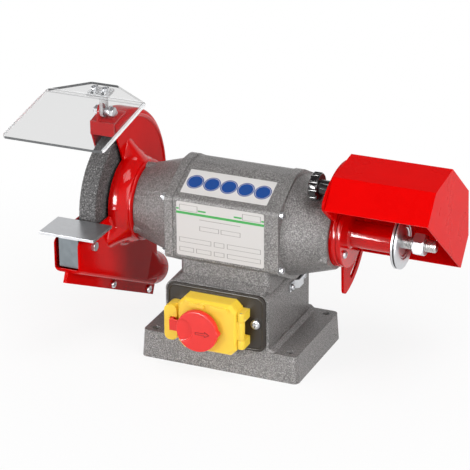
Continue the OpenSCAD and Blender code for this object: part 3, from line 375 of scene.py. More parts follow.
def rest_plating(look):
    """Galvanised plate: bright on the table; below the bend the apron is painted darker and
    blue-grey, as painted shade.
    """
    base = look.colours.zinc
    made = Finish("rest_plating", base, roughness=0.28, metallic=1.0)
    cloud = made.noise(0.006, 4.0, 0.6)
    lines = made.noise(0.0007, 3.0, 0.6, made.stretch(1, 12, 12))
    # Painted shade: below the bend the apron gets a darker blue-grey than the table
    apron = made.axes()[2] < REST_BEND_Z
    bright = made.shades(cloud, base, 0.85, 1.12)
    painted_apron_shade = made.mix(cloud, (0.16, 0.18, 0.195), (0.21, 0.235, 0.25))  # blue-grey
    made.give({"Base Color": made.mix(apron, bright, painted_apron_shade),
               "Roughness": 0.2 + 0.12 * cloud + 0.1 * lines})
    return made.bump(lines, 0.00003, 0.4).material


def turned_steel(look):
    """Turned steel: fine rings round the spindle's line."""
    made = Finish("turned_steel", look.colours.steel, roughness=0.26, metallic=1.0)
    x, y, z = made.axes()
    radius = (y * y + (z - AXIS_Z) * (z - AXIS_Z)).root()
    feed_marks = 0.45 * MM
    rings = ((radius + x) * (2 * math.pi / feed_marks)).sine() * 0.5 + 0.5
    cloud = made.noise(0.004, 3.0)
    made.give({"Base Color": made.shades(cloud, look.colours.steel, 0.85, 1.15),
               "Roughness": 0.2 + 0.14 * cloud + 0.06 * rings})
    return made.bump(rings, 0.00002, 0.35).material


def moulding(name, base, rough, coat=0.0):
    """Moulded plastic: a fine grain and a slightly uneven gloss."""
    made = Finish(name, base, roughness=rough, coat_weight=coat, coat_roughness=0.1,
                  specular_ior_level=0.3)
    broad = made.noise(0.012, 2.0)
    fine = made.noise(0.0006, 2.0)
    made.give({"Base Color": made.shades(broad, base, 0.93, 1.04),
               "Roughness": rough - 0.04 + 0.1 * fine})
    return made.bump(fine, 0.00002, 0.5).material


def clear_pane():
    """Clear pane: see-through faces, with painted highlights on the cut edges, behind the bend and
    along the right side, and painted shade on the front edge, the bend and a line near the right
    side.
    """
    made = Finish("clear_pane", CLEAR, roughness=0.04, specular_ior_level=0.5)
    facing = made.node("ShaderNodeLayerWeight", {}, {"Blend": 0.3}, "Facing")
    normal = made.node("ShaderNodeTexCoord", {}, {}, "Normal").socket
    across, lean, up = made.axes(normal)
    x, y, _ = made.axes()
    edge = abs(up * math.cos(PANE_TILT) - lean * math.sin(PANE_TILT)) < CUT_EDGE
    front = (lean < -0.6) * edge
    hidden = ((lean > 0.3) + (across < -0.5)).clamp() * edge
    face = 1 - edge
    bend_half, behind_end, rim_start, line_start = 0.9 * MM, 2.8 * MM, 2.9 * MM, 3.9 * MM
    # Painted light: a dark line on the bend, a pale band behind it, a pale strip along the right
    # side and a dark line beside it
    bend = made.span(y, BEND_Y - bend_half, BEND_Y + bend_half) * face
    highlight_behind_bend = made.span(y, BEND_Y + bend_half, BEND_Y + behind_end) * face
    rim = (x > PANE_RIGHT - rim_start) * (y < BEND_Y) * face
    line = made.span(x, PANE_RIGHT - line_start, PANE_RIGHT - rim_start) * (y < BEND_Y) * face
    smear = made.noise(0.02, 3.0)
    # Painted highlights on the cut edges and pale bands; painted shade on the front edge, which is
    # dark only because it faces the front, and on the bend and the line
    pale = made.mix((edge + rim + highlight_behind_bend).clamp(), CLEAR, (0.95, 0.96, 0.97))
    dark = made.mix((front + bend + line).clamp(), pale, (0.12, 0.125, 0.13))
    return made.give({
        "Alpha": (0.11 + 0.85 * edge - 0.65 * hidden + 0.3 * bend + 0.35 * highlight_behind_bend + 0.55 * rim
                  + 0.45 * line + 0.45 * facing ** 3.0).clamp(),
        "Base Color": dark, "Roughness": 0.03 + 0.07 * smear}).material


def clear_leg():
    """Clear leg: see-through on its wide sides, with painted highlights on its cut edges."""
    made = Finish("clear_leg", CLEAR, roughness=0.04, specular_ior_level=0.5)
    normal = made.node("ShaderNodeTexCoord", {}, {}, "Normal").socket
    edge = abs(made.axes(normal)[0]) < CUT_EDGE
    smear = made.noise(0.02, 3.0)
    # Painted highlight: the cut edges are painted pale, the wide sides a darker grey
    return made.give({"Alpha": 0.2 + 0.5 * edge,
                      "Base Color": made.mix(edge, (0.3, 0.31, 0.32), (0.9, 0.91, 0.92)),
                      "Roughness": 0.03 + 0.07 * smear}).material


def flange_plating(look):
    """Bright zinc, with painted shade: a dark band in the groove between the two polishing flanges.
    """
    base = look.colours.zinc
    made = Finish("flange_plating", base, roughness=0.34, metallic=1.0)
    x, _, _ = made.axes()
    middle = (FLANGES[0][0] + FLANGES[1][0]) / 2
    groove_half = 0.75 * MM
    # Painted shade: the groove between the flanges is painted near black
    groove = abs(x - middle) < groove_half
    cloud = made.noise(0.006, 4.0, 0.6)
    bright = made.shades(cloud, base, 0.9, 1.15)
    made.give({"Base Color": made.mix(groove, bright, (0.08, 0.08, 0.08)),
               "Roughness": 0.28 + 0.12 * cloud})
    return made.bump(cloud, 0.00002, 0.3).material


def grit(look):
    """Abrasive: pale and dark grains packed in a grey bond."""
    made = Finish("abrasive", look.colours.grit, roughness=0.85)
    grain = made.cells(1.8 * MM)
    speck = made.noise(0.0013, 2.0, 0.6)
    broad = made.noise(0.012, 3.0)
    shade = grain * 0.4 + (speck - 0.5) * 1.1 + 0.3
    made.give({"Base Color": made.ramp(
        shade, (0.22, tint(look.colours.grit, 5.0)), (0.38, tint(look.colours.grit, 1.6)),
        (0.52, look.colours.grit), (0.7, tint(look.colours.grit, 0.2)))})
    made.give({"Roughness": 0.7 + 0.2 * broad})
    return made.bump(1 - shade, 0.0005, 0.9).material


def plain(name, base, rough, metallic=0.0):
    """A plain finish for hidden parts, with a little unevenness."""
    made = Finish(name, base, roughness=rough, metallic=metallic)
    cloud = made.noise(0.005, 3.0)
    made.give({"Base Color": made.shades(cloud, base, 0.85, 1.1),
               "Roughness": rough - 0.06 + 0.12 * cloud})
    return made.bump(made.noise(0.0008, 2.0), 0.00003, 0.4).material


def rating_print(look):
    """Front plate: two stripes across the top and rows of empty boxes below."""
    made = Finish("rating_print", look.colours.plate, roughness=0.42, specular_ior_level=0.3)
    x, _, z = made.axes()
    u = (x - PLATE["left"]) / (PLATE["right"] - PLATE["left"])
    v = (PLATE["top"] - z) / (PLATE["top"] - PLATE["bottom"])
    stripes = made.span(v, 0.18, 0.226) + made.span(v, 0.118, 0.148) * (made.span(
        abs(u - 0.5), 0.16, 0.25) + made.span(abs(u - 0.5), 0.47, 0.5))
    # Rows of boxes: top and bottom of the row, then the left and right end of each box
    rows = ((0.05, 0.165, (0.035, 0.245), (0.755, 0.965)),
            (0.41, 0.495, (0.265, 0.49), (0.51, 0.735)),
            (0.66, 0.75, (0.03, 0.4), (0.43, 0.55), (0.58, 0.965)),
            (0.84, 0.925, (0.03, 0.2), (0.225, 0.4), (0.43, 0.55), (0.58, 0.965)))
    line = 0.0075
    first, *others = [made.outline(u, v, (left, top, right, bottom), line)
                      for top, bottom, *boxes in rows for left, right in boxes]
    lines = sum(others, first)
    rule = made.span(v, 0.285, 0.295) * made.span(u, 0.265, 0.735)
    inked = made.mix((lines + rule).clamp(), look.colours.plate, (0.32, 0.3, 0.29))
    made.give({"Base Color": made.mix(stripes.clamp(), inked, look.colours.stripe)})
    return made.bump(made.noise(0.001, 2.0), 0.00001, 0.3).material


def sign_print(look):
    """Upper plate: a row of plain blue discs, each with a thin pale ring."""
    made = Finish("sign_print", look.colours.plate, roughness=0.42, specular_ior_level=0.3)
    x, y, z = made.axes()
    slope = (y - SIGN["edge"][0]) * SIGN["along"][0] + (z - SIGN["edge"][1]) * SIGN["along"][1]
    v = slope - SIGN["middle"]
    ring_out, ring_in = SIGN["radius"] - 1.1 * MM, SIGN["radius"] - 1.5 * MM
    blue, ring = 0.0, 0.0
    for i in range(5):
        u = x - (SIGN["first"] + i * SIGN["step"])
        far = (u * u + v * v).root()
        blue = blue + (far < SIGN["radius"])
        ring = ring + made.span(far, ring_in, ring_out)
    inked = made.mix(blue.clamp(), look.colours.plate, look.colours.sign_blue)
    made.give({"Base Color": made.mix(ring.clamp(), inked, look.colours.plate)})
    return made.bump(made.noise(0.001, 2.0), 0.00001, 0.3).material


# ---- surfaces


def grid_faces(rows, columns, close_rows):
    """Quads between neighbours on a grid whose columns run round, as one index array."""
    r = np.arange(rows if close_rows else rows - 1)
    i, j = np.meshgrid(r, np.arange(columns), indexing="ij")
    i2, j2 = (i + 1) % rows, (j + 1) % columns
    return np.stack([i * columns + j, i * columns + j2, i2 * columns + j2, i2 * columns + j],
                    -1).reshape(-1, 4)


def surface(name, points, body, material, sharp, close_rows=False):
    """A piece from a grid of points (rows, columns, 3): doubles merged, faces outwards.

    The columns always run round. The rows do so only where it is asked for; elsewhere the
    first and the last row shrink to a point, or lie inside another piece.
    """
    rows, columns = points.shape[:2]
    mesh = bpy.data.meshes.new(name)
    mesh.from_pydata(points.reshape(-1, 3).tolist(), [],
                     grid_faces(rows, columns, close_rows).tolist())
    work = bmesh.new()
    work.from_mesh(mesh)
    bmesh.ops.remove_doubles(work, verts=work.verts, dist=1e-6)
    bmesh.ops.recalc_face_normals(work, faces=work.faces)
    work.to_mesh(mesh)
    work.free()
    mesh.shade_smooth()
    mesh.set_sharp_from_angle(angle=math.radians(sharp))
    piece = bpy.data.objects.new(name, mesh)
    bpy.context.scene.collection.objects.link(piece)
    mesh.materials.append(material)
    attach(piece, body)
    return piece


def full_turn(steps):
    """Angles of a full turn in equal steps."""
    return np.linspace(0, 2 * np.pi, steps, endpoint=False)


def lathe(x, radius, turns):
    """Points of a profile (x, radius) carried round the spindle's line.

    The radius may be one number per x, or one per x and angle.
    """
    angle = full_turn(turns)
    x = np.asarray(x)[:, None] * MM
    radius = np.asarray(radius) * MM
    radius = radius[:, None] if radius.ndim == 1 else radius
    return np.stack(np.broadcast_arrays(
        x, radius * np.cos(angle), AXIS_Z + radius * np.sin(angle)), -1)


def along(x, radius, step):
    """A profile with points added so that no stretch is longer than the step."""
    x, radius = np.asarray(x, float), np.asarray(radius, float)
    far = np.hypot(np.diff(x), np.diff(radius))
    place = np.concatenate([[0], np.cumsum(far)])
    want = np.concatenate([np.linspace(a, b, max(2, int(np.ceil((b - a) / step)) + 1))[:-1]
                           for a, b in zip(place[:-1], place[1:])] + [[place[-1]]])
    return np.interp(want, place, x), np.interp(want, place, radius)


def rounded_sheet(width, height, radius, thick):
    """A thin closed sheet with rounded corners: centre, top rim, lower rim, centre.

    Rows run from the middle of the upper face over its rim to the middle of the lower face.
    """
    angle = full_turn(48) + np.pi / 48
    corner_x = np.sign(np.cos(angle)) * (width / 2 - radius)
    corner_y = np.sign(np.sin(angle)) * (height / 2 - radius)
    rim = np.stack([corner_x + radius * np.cos(angle), corner_y + radius * np.sin(angle)], -1)
    sunk = -0.02 * MM
    rows = [(0.0, thick), (0.999, thick), (1.0, thick * 0.7), (1.0, sunk), (0.0, sunk)]
    return np.stack([np.column_stack([rim * scale, np.full(len(rim), z)]) for scale, z in rows])


def dress(material, *names):
    """Gives CAD nodes a material through their own slots."""
    for name in names:
        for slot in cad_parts[name].material_slots:
            slot.material = material


def soften(width, *names, angle=28.0):
    """Rounds CAD nodes' edges with live modifiers: join, merge flat faces, bevel.

    Only edges that turn by more than the angle, in degrees, are rounded.
    """
    for name in names:
        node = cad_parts[name]
        join = node.modifiers.new("join", "WELD")
        join.merge_threshold = 0.002 * MM
        flat = node.modifiers.new("flat", "DECIMATE")
        flat.decimate_type = "DISSOLVE"
        flat.angle_limit = math.radians(0.2)
        edge = node.modifiers.new("edge", "BEVEL")
        edge.width = width
        edge.segments = bpy.context.scene.grinder_details.segments
        edge.limit_method = "ANGLE"
        edge.angle_limit = math.radians(angle)
        edge.harden_normals = True


class Look:
    """The user's settings, read once by each operator."""

    def __init__(self, context):
        self.colours = context.scene.grinder_colours
        self.details = context.scene.grinder_details
        self.stage = context.scene.grinder_stage


class GRINDER_OT_castings(bpy.types.Operator):
    """Hammered enamel on the foot, the motor body and both bells"""
    bl_idname = "grinder.castings"
    bl_label = "Castings"

    def execute(self, context):
        look = Look(context)
        dress(hammered_enamel(look), "base_casting", "motor_body", "left_bell", "right_bell")
        soften(look.details.edge_cast, "base_casting", "left_bell", "right_bell", "motor_body")
        dress(plain("hidden_sheet", (0.3, 0.3, 0.31), 0.5, 0.6), "base_cover", "wave_washer")
        dress(plain("laminations", (0.12, 0.12, 0.13), 0.5, 0.8), "stator_core", "rotor_core")
        dress(plain("windings", (0.45, 0.16, 0.06), 0.35, 0.7), "stator_windings")
        dress(moulding("capacitor_case", (0.72, 0.68, 0.55), 0.4), "capacitor")
        return {"FINISHED"}


def guard_collar():
    """The flare between the guard's side and the motor's bell, with its three pressed ribs.

    A lathe whose radius depends on x and the angle. Along x it is a straight cone plus a
    half-sine bulge, a small groove and a lip at the bell. Where the guard has its side plate,
    a quarter-circle fillet lifts the foot of the cone. Each rib adds a power of the cosine of
    the distance from its ridge, whose height grows in proportion towards the plate.
    """
    turns = 360
    angle = full_turn(turns)
    plate, cone_end, bell = GUARD_SIDE, -117.2, -112.0
    wide, narrow, bulge = 51.0, 45.6, 2.3
    # Groove and lip: x and radius of each point
    lip_x, lip_radius = np.array([
        (cone_end, narrow), (-116.6, 45.0), (-116.2, 44.8), (-115.7, 45.0), (-115.3, 45.5),
        (-114.8, 45.8), (-113.6, 45.8), (-112.9, 45.3), (bell - 0.3, 44.2)]).T
    buried = plate - 1.6
    x = np.concatenate([[buried], np.linspace(plate, cone_end, 30), lip_x[1:]])
    along_cone = np.clip((x - plate) / (cone_end - plate), 0, 1)
    cone = wide + (narrow - wide) * along_cone + bulge * np.sin(np.pi * along_cone) ** 0.8
    cone = np.where(x > cone_end, np.interp(x, lip_x, lip_radius), cone)
    # The guard is open at the front between these two angles, so there is no fillet
    degrees = np.degrees(angle)
    mouth_low, mouth_high, fade = 98, 192, 8
    open_front = (np.clip((degrees - mouth_low) / fade, 0, 1)
                  * np.clip((mouth_high - degrees) / fade, 0, 1))
    size = 4.5
    near = np.clip((plate + size - x) / size, 0, 1)
    fillet = size * (1 - np.sqrt(1 - np.clip(near, 0, 0.995) ** 2))
    radius = cone[:, None] + fillet[:, None] * (1 - open_front)
    rib_end = -114.5
    depth = np.clip((rib_end - x) / (rib_end - plate), 0, 1)
    ridge = 44.6 + 24.0 * depth
    # Angle of each rib, and its width on either side at a radius of 56 mm
    for rib, before, after in ((90, 24, 11), (210, 12, 24), (330, 20, 20)):
        turn = np.radians((degrees - rib + 180) % 360 - 180)
        aside = np.abs(turn) * 56 / np.where(turn < 0, before, after)
        crest = np.cos(np.clip(aside, 0, 1) * np.pi / 2)[None, :]
        shape = crest ** (2 - 0.7 * depth[:, None])
        radius = np.maximum(radius, radius + (ridge - cone)[:, None].clip(0) * shape
                            - fillet[:, None] * shape)
    outer = lathe(x, radius, turns)
    back = x[::-1]
    inner = lathe(back, np.interp(back, [buried, bell], [49.4, 41.0]), turns)
    return np.concatenate([outer, inner])


def guard_bead():
    """The raised rim round the guard's side: a half-round carried along an arc.

    The bead's circle is swept round the wheel's line, and its size falls to nothing at both
    ends with the fourth root of a sine.
    """
    sweep = np.radians(np.linspace(-38, 106, 120))
    size = np.sin(np.linspace(0, np.pi, len(sweep))).clip(0) ** 0.25
    around = full_turn(16)
    reach, wide, high = 92.4, 2.2, 2.0
    radius = reach + wide * size[:, None] * np.cos(around)
    x = GUARD_SIDE - 0.4 + high * size[:, None] * np.sin(around)
    return np.stack([x, radius * np.cos(sweep)[:, None],
                     AXIS_Z / MM + radius * np.sin(sweep)[:, None]], -1) * MM


class GRINDER_OT_guard(bpy.types.Operator):
    """Glossy red on the wheel guard and its bracket"""
    bl_idname = "grinder.guard"
    bl_label = "Wheel guard"

    def execute(self, context):
        look = Look(context)
        paint = powder_coat("guard_paint", look.colours.red, 0.12, 0.00002, 0.03)
        gloss = powder_coat("guard_gloss", look.colours.red, 0.1, 0.00001, 0.3)
        dress(paint, "guard_inner_half", "guard_outer_half", "sector_plate")
        dress(gloss, "spindle_tube", "spark_arrester")
        soften(2 * MM, "guard_inner_half", angle=20)
        soften(look.details.edge_sheet, "spark_arrester", "sector_plate", "spindle_tube")
        surface("guard_collar", guard_collar(), "frame", gloss, 60,
                close_rows=True)
        surface("guard_bead", guard_bead(), "frame", gloss, 60)
        return {"FINISHED"}


def stone_points(look):
    """The grinding wheel: a ring's profile turned round the spindle's line.

    The profile is a rectangle whose two outer corners are cut off. Seeded noise times the
    height of a grain lowers the rim towards the axis, and sinks both sides outside the
    flanges along it.
    """
    low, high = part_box("grinding_wheel")
    left, right = low[0] / MM, high[0] / MM
    far = (high[1] - low[1]) / 2 / MM
    height = look.details.grain / MM
    bore, flange, step, turns = 8.02, 12, 1.4, 340
    x, radius = along([left, left, left + 1, right - 1, right, right, left],
                      [bore, far - 1, far, far, far - 1, bore, bore], step)
    draw = np.random.default_rng(7)
    grains = draw.random((len(x), turns)) * height
    rough = (radius > flange)[:, None] * grains
    points = lathe(x, radius[:, None] - rough * (radius[:, None] > far - 1.2), turns)
    side = np.where(x < (left + right) / 2, 1.0, -1.0)
    flat = (radius < far - 0.5) & (radius > flange)
    points[..., 0] += (side * flat)[:, None] * rough * MM
    return points


class GRINDER_OT_wheel(bpy.types.Operator):
    """Grinding wheel with real grains on its rim and sides"""
    bl_idname = "grinder.wheel"
    bl_label = "Grinding wheel"

    def execute(self, context):
        look = Look(context)
        wheel = surface("wheel_stone", stone_points(look), "rotor", grit(look), 60)
        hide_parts("grinding_wheel")
        dress(plain("blotter", (0.7, 0.66, 0.55), 0.8), "wheel_blotters")
        return {"FINISHED"}


def shaft_points(look):
    """The spindle: a stepped profile turned round its line, with two cut threads.

    A thread lowers the radius by a triangle wave of x over the pitch minus the angle over a
    full turn; the left-hand thread adds the angle instead. Ramps half a millimetre long
    start and end each thread.
    """
    low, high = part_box("spindle")
    left, right = low[0] / MM, high[0] / MM
    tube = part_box("spindle_tube")[1][0] / MM
    shoulder = tube + 1.5
    step, turns = 0.35, 72
    # x and radius of each corner, from the wheel's end to the polishing end
    profile = np.array([
        (left, 0), (left, 7), (left + 1, 8), (-133.9, 8), (-133.9, 11), (-129.9, 11),
        (-129.9, 8.5), (-96, 8.5), (-96, 10), (100, 10), (100, 8.5), (118, 8.5), (118, 8),
        (shoulder - 1.2, 8), (shoulder - 1.2, 9.5), (shoulder, 9.5), (shoulder, 7),
        (right - 1, 7), (right, 6), (right, 0)])
    x, radius = along(*profile.T, step)
    angle = full_turn(turns)
    cut = np.zeros((len(x), turns))
    for start, stop, pitch, hand in (
            (shoulder + 8.5, right + 1, look.details.pitch_polish / MM, 1),
            (left - 1, -162, look.details.pitch_wheel / MM, -1)):
        phase = x[:, None] / pitch - hand * angle / (2 * np.pi)
        groove = 0.62 * pitch * np.abs(2 * (phase % 1) - 1)
        inside = np.clip((x - start) * 2, 0, 1) * np.clip((stop - x) * 2, 0, 1)
        cut = cut + inside[:, None] * groove * 0.9
    return lathe(x, np.maximum(radius[:, None] - cut * (radius[:, None] > 3), 0), turns)


class GRINDER_OT_spindle(bpy.types.Operator):
    """Spindle with real threads at both ends"""
    bl_idname = "grinder.spindle"
    bl_label = "Spindle"

    def execute(self, context):
        look = Look(context)
        shaft = surface("turned_spindle", shaft_points(look), "rotor",
                        turned_steel(look), 50)
        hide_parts("spindle")
        return {"FINISHED"}


class GRINDER_OT_shield(bpy.types.Operator):
    """Clear eye shield and its leg"""
    bl_idname = "grinder.shield"
    bl_label = "Eye shield"

    def execute(self, context):
        look = Look(context)
        dress(clear_pane(), "eye_shield")
        dress(clear_leg(), "shield_leg")
        soften(look.details.edge_small, "eye_shield")
        return {"FINISHED"}


class GRINDER_OT_hood(bpy.types.Operator):
    """Red hood and the clamp knob"""
    bl_idname = "grinder.hood"
    bl_label = "Hood"

    def execute(self, context):
        look = Look(context)
        dress(powder_coat("hood_paint", look.colours.hood_red, 0.28, 0.00003, 0.03), "hood")
        soften(look.details.edge_sheet * 1.5, "hood")
        dress(moulding("knob_plastic", (0.008, 0.007, 0.007), 0.16, coat=0.5), "clamp_knob")
        soften(look.details.edge_small, "clamp_knob")
        return {"FINISHED"}


def disc_press():
    """The stop disc: a low dome with a pointed side, a thumb recess and its plunger.

    A polar grid. The outline is a circle or, where that reaches further, two straight lines
    that meet in the point. The front is a shallow parabola, and the back is hollow. The
    recess is a smooth step inside a circle left of the middle, times a ramp that rises to
    nothing at the disc's left edge.
    """
    angle = full_turn(160)
    cosine, sine = np.cos(angle), np.sin(angle)
    wedge = 21.12 / np.maximum(0.781 * cosine + 0.625 * np.abs(sine), 0.1)
    point = 26.4 / np.maximum(cosine, 0.1)
    rim = np.maximum(DISC["radius"], np.minimum(wedge, point) * (cosine > 0.5))
    # Front: the rounded edge starts where the dome ends
    face, rounding, dome = DISC["back"] - 6.3, 1.6, 0.55
    share = np.linspace(0, 1, 64) ** 0.8
    far = share[:, None] * (rim - rounding)
    u, v = far * cosine, far * sine
    inside = np.clip((13 - np.hypot(u + 17.5, v)) / 0.8 + 0.5, 0, 1)
    step = inside * inside * (3 - 2 * inside)
    recess = 2.5 * step * np.clip((u + 23) / 14, 0, 1)
    front = face - dome * (1 - share[:, None] ** 2) + recess
    curve = np.radians(np.array([22, 45, 68, 90]))[:, None]
    edge_far = rim - rounding + rounding * np.sin(curve)
    edge = face + rounding * (1 - np.cos(curve)) + 0 * rim
    # Back: a hollow, and a notch in its wall where the latch slides
    hollow_back = DISC["back"] - 3.3
    slot = np.array([1.0, 0.92, 0.915, 0.6, 0.3])[:, None] * rim
    over_latch = (slot * cosine < -12) & (np.abs(slot * sine) < 7.8)
    hollow = np.array([False, False, True, True, True])[:, None]
    rear = np.where(over_latch | hollow, hollow_back, DISC["back"])
    stem = np.array([[4.0], [4.0], [0.0]]) + 0 * rim
    stem_y = np.array([[hollow_back], [DISC["stem"]], [DISC["stem"]]]) + 0 * rim
    far = np.concatenate([far, edge_far, slot, stem])
    depth = np.concatenate([front, edge, rear, stem_y])
    return np.stack([DISC["x"] + far * cosine, depth, DISC["z"] + far * sine], -1) * MM


def disc_arrow():
    """Raised outline of an arrow on the disc that points away from the latch.

    Two copies of a seven-cornered outline, the inner one smaller. The rows run up the outer
    side, across the top and down the inner side, and both ends lie inside the disc.
    """
    tip = np.array([[13.3, 0], [7.4, 3.4], [7.4, 1.45], [-3.4, 1.45], [-3.4, -1.45],
                    [7.4, -1.45], [7.4, -3.4]])
    inner = np.array([[12.1, 0], [8.0, 2.4], [8.0, 0.95], [-2.9, 0.95], [-2.9, -0.95],
                      [8.0, -0.95], [8.0, -2.4]])
    middle_x, middle_z = DISC["x"] + 2.6, DISC["z"] - 1.2
    sunk, proud = DISC_LOW[1] + 0.4, DISC_LOW[1] - 0.2
    return np.stack([np.column_stack([middle_x + loop[:, 0], np.full(len(loop), y),
                                      middle_z + loop[:, 1]]) * MM
                     for loop, y in ((tip, sunk), (tip, proud), (inner, proud), (inner, sunk))])


def cover_bar(left, right):
    """A raised bar on the cover's face, between two places along X in millimetres.

    A thin sheet with rounded corners, set upright.
    """
    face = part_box("switch_lid")[0][1]
    height, corner, thick, middle_z = 4.4 * MM, 1.4 * MM, 2.2 * MM, 85.2 * MM
    flat = rounded_sheet((right - left) * MM, height, corner, thick)
    return np.stack([(left + right) / 2 * MM + flat[..., 0], face - flat[..., 2],
                     middle_z + flat[..., 1]], -1)


def plate_rim():
    """Raised rim of the switch plate: a half-round carried round a rounded rectangle."""
    low, high = (np.array(corner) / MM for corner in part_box("switch_plate"))
    corner, margin, wide, proud = 9.0, 2.2, 1.4, 1.2
    turn = full_turn(96) + np.pi / 96
    half = (high - low) / 2 - corner - margin
    middle = (low + high) / 2
    around = full_turn(12)
    reach = corner + wide * np.cos(around)
    x = middle[0] + np.sign(np.cos(turn))[:, None] * half[0] + np.cos(turn)[:, None] * reach
    z = middle[2] + np.sign(np.sin(turn))[:, None] * half[2] + np.sin(turn)[:, None] * reach
    y = low[1] + 0.2 + proud * np.sin(around) + 0 * x
    return np.stack([x, y, z], -1) * MM


class GRINDER_OT_switch(bpy.types.Operator):
    """Switch plate, yellow cover, stop disc and buttons"""
    bl_idname = "grinder.switch"
    bl_label = "Switch"

    def execute(self, context):
        look = Look(context)
        colours = look.colours
        black = moulding("black_moulding", colours.black, 0.35, coat=0.1)
        dress(black, "switch_plate", "switch_module", "cable_gland")
        surface("plate_rim", plate_rim(), "frame", black, 60,
                close_rows=True)
        yellow = moulding("yellow_moulding", colours.yellow, 0.3, coat=0.2)
        dress(yellow, "switch_frame", "switch_lid")
        red = moulding("red_moulding", colours.signal_red, 0.3, coat=0.2)
        dress(red, "latch_bar", "stop_button")
        dress(moulding("green_moulding", colours.green, 0.35), "start_button")
        soften(look.details.edge_small * 2, "switch_plate", "switch_frame", "switch_lid")
        disc = surface("disc_press", disc_press(), "disc", red, 50)
        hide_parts("stop_disc")
        soften(look.details.edge_small, "latch_bar")
        for name, left, right in (("cover_bar_left", -24.5, -6.5), ("cover_bar_right", 0.5, 21.5)):
            surface(name, cover_bar(left, right), "lid", yellow, 30)
        # Painted shade: the arrow's outline is a darker red, standing in for the shade in an
        # engraved arrow
        surface("disc_arrow", disc_arrow(), "disc",
                moulding("arrow_red", tint(colours.signal_red, 0.35), 0.35), 20)
        return {"FINISHED"}


def front_plate(thick):
    """The rating plate: a thin sheet with rounded corners on the motor's front face."""
    flat = rounded_sheet(PLATE["right"] - PLATE["left"], PLATE["top"] - PLATE["bottom"],
                         2.2 * MM, thick)
    return np.stack([(PLATE["left"] + PLATE["right"]) / 2 + flat[..., 0],
                     BODY_FRONT - flat[..., 2],
                     (PLATE["bottom"] + PLATE["top"]) / 2 + flat[..., 1]], -1)


def slanted_plate(thick):
    """The sign plate: a thin sheet with rounded corners, tilted onto the slanted face."""
    cosine, sine = SIGN["along"]
    flat = rounded_sheet(SIGN["right"] - SIGN["left"], 2 * SIGN["half"], 0.6 * MM, thick)
    slope = SIGN["middle"] + flat[..., 1]
    return np.stack([(SIGN["left"] + SIGN["right"]) / 2 + flat[..., 0],
                     SIGN["edge"][0] + slope * cosine - flat[..., 2] * sine,
                     SIGN["edge"][1] + slope * sine + flat[..., 2] * cosine], -1)


class GRINDER_OT_plates(bpy.types.Operator):
    """Printed plates on the motor's front and slanted faces"""
    bl_idname = "grinder.plates"
    bl_label = "Printed plates"

    def execute(self, context):
        look = Look(context)
        thick = look.details.plate_sheet
        surface("rating_plate", front_plate(thick), "frame",
                rating_print(look), 30)
        surface("sign_plate", slanted_plate(thick), "frame",
                sign_print(look), 30)
        return {"FINISHED"}


class GRINDER_OT_hardware(bpy.types.Operator):
    """Plated and turned metal parts"""
    bl_idname = "grinder.hardware"
    bl_label = "Metal parts"

    def execute(self, context):
        look = Look(context)
        dress(plating("zinc_plating", look.colours.zinc, 0.3), "cover_screws", "tie_bolts",
              "tie_nuts", "seam_screws", "guard_screws", "arrester_screw", "shield_bolt",
              "rest_clamp_bolt", "tube_screws", "hinge_pin", "saddle_clamp", "clamp_screws",
              "wheel_nut", "leg_screws", "knob_bolt", "guide_bolt")
        dress(plating("dull_zinc", tint(look.colours.zinc, 0.7), 0.3), "plate_screws")
        dress(rest_plating(look), "tool_rest")
        soften(look.details.edge_small, "tool_rest", "saddle_clamp", "guide_bolt", "wheel_nut",
               "rest_clamp_bolt", "shield_bolt")
        dress(turned_steel(look), "bearing_outers", "bearing_inners", "bearing_balls",
              "inner_flange", "outer_flange")
        dress(flange_plating(look), "polish_flanges", "polish_nut")
        soften(look.details.edge_small, "polish_flanges", "polish_nut")
        return {"FINISHED"}


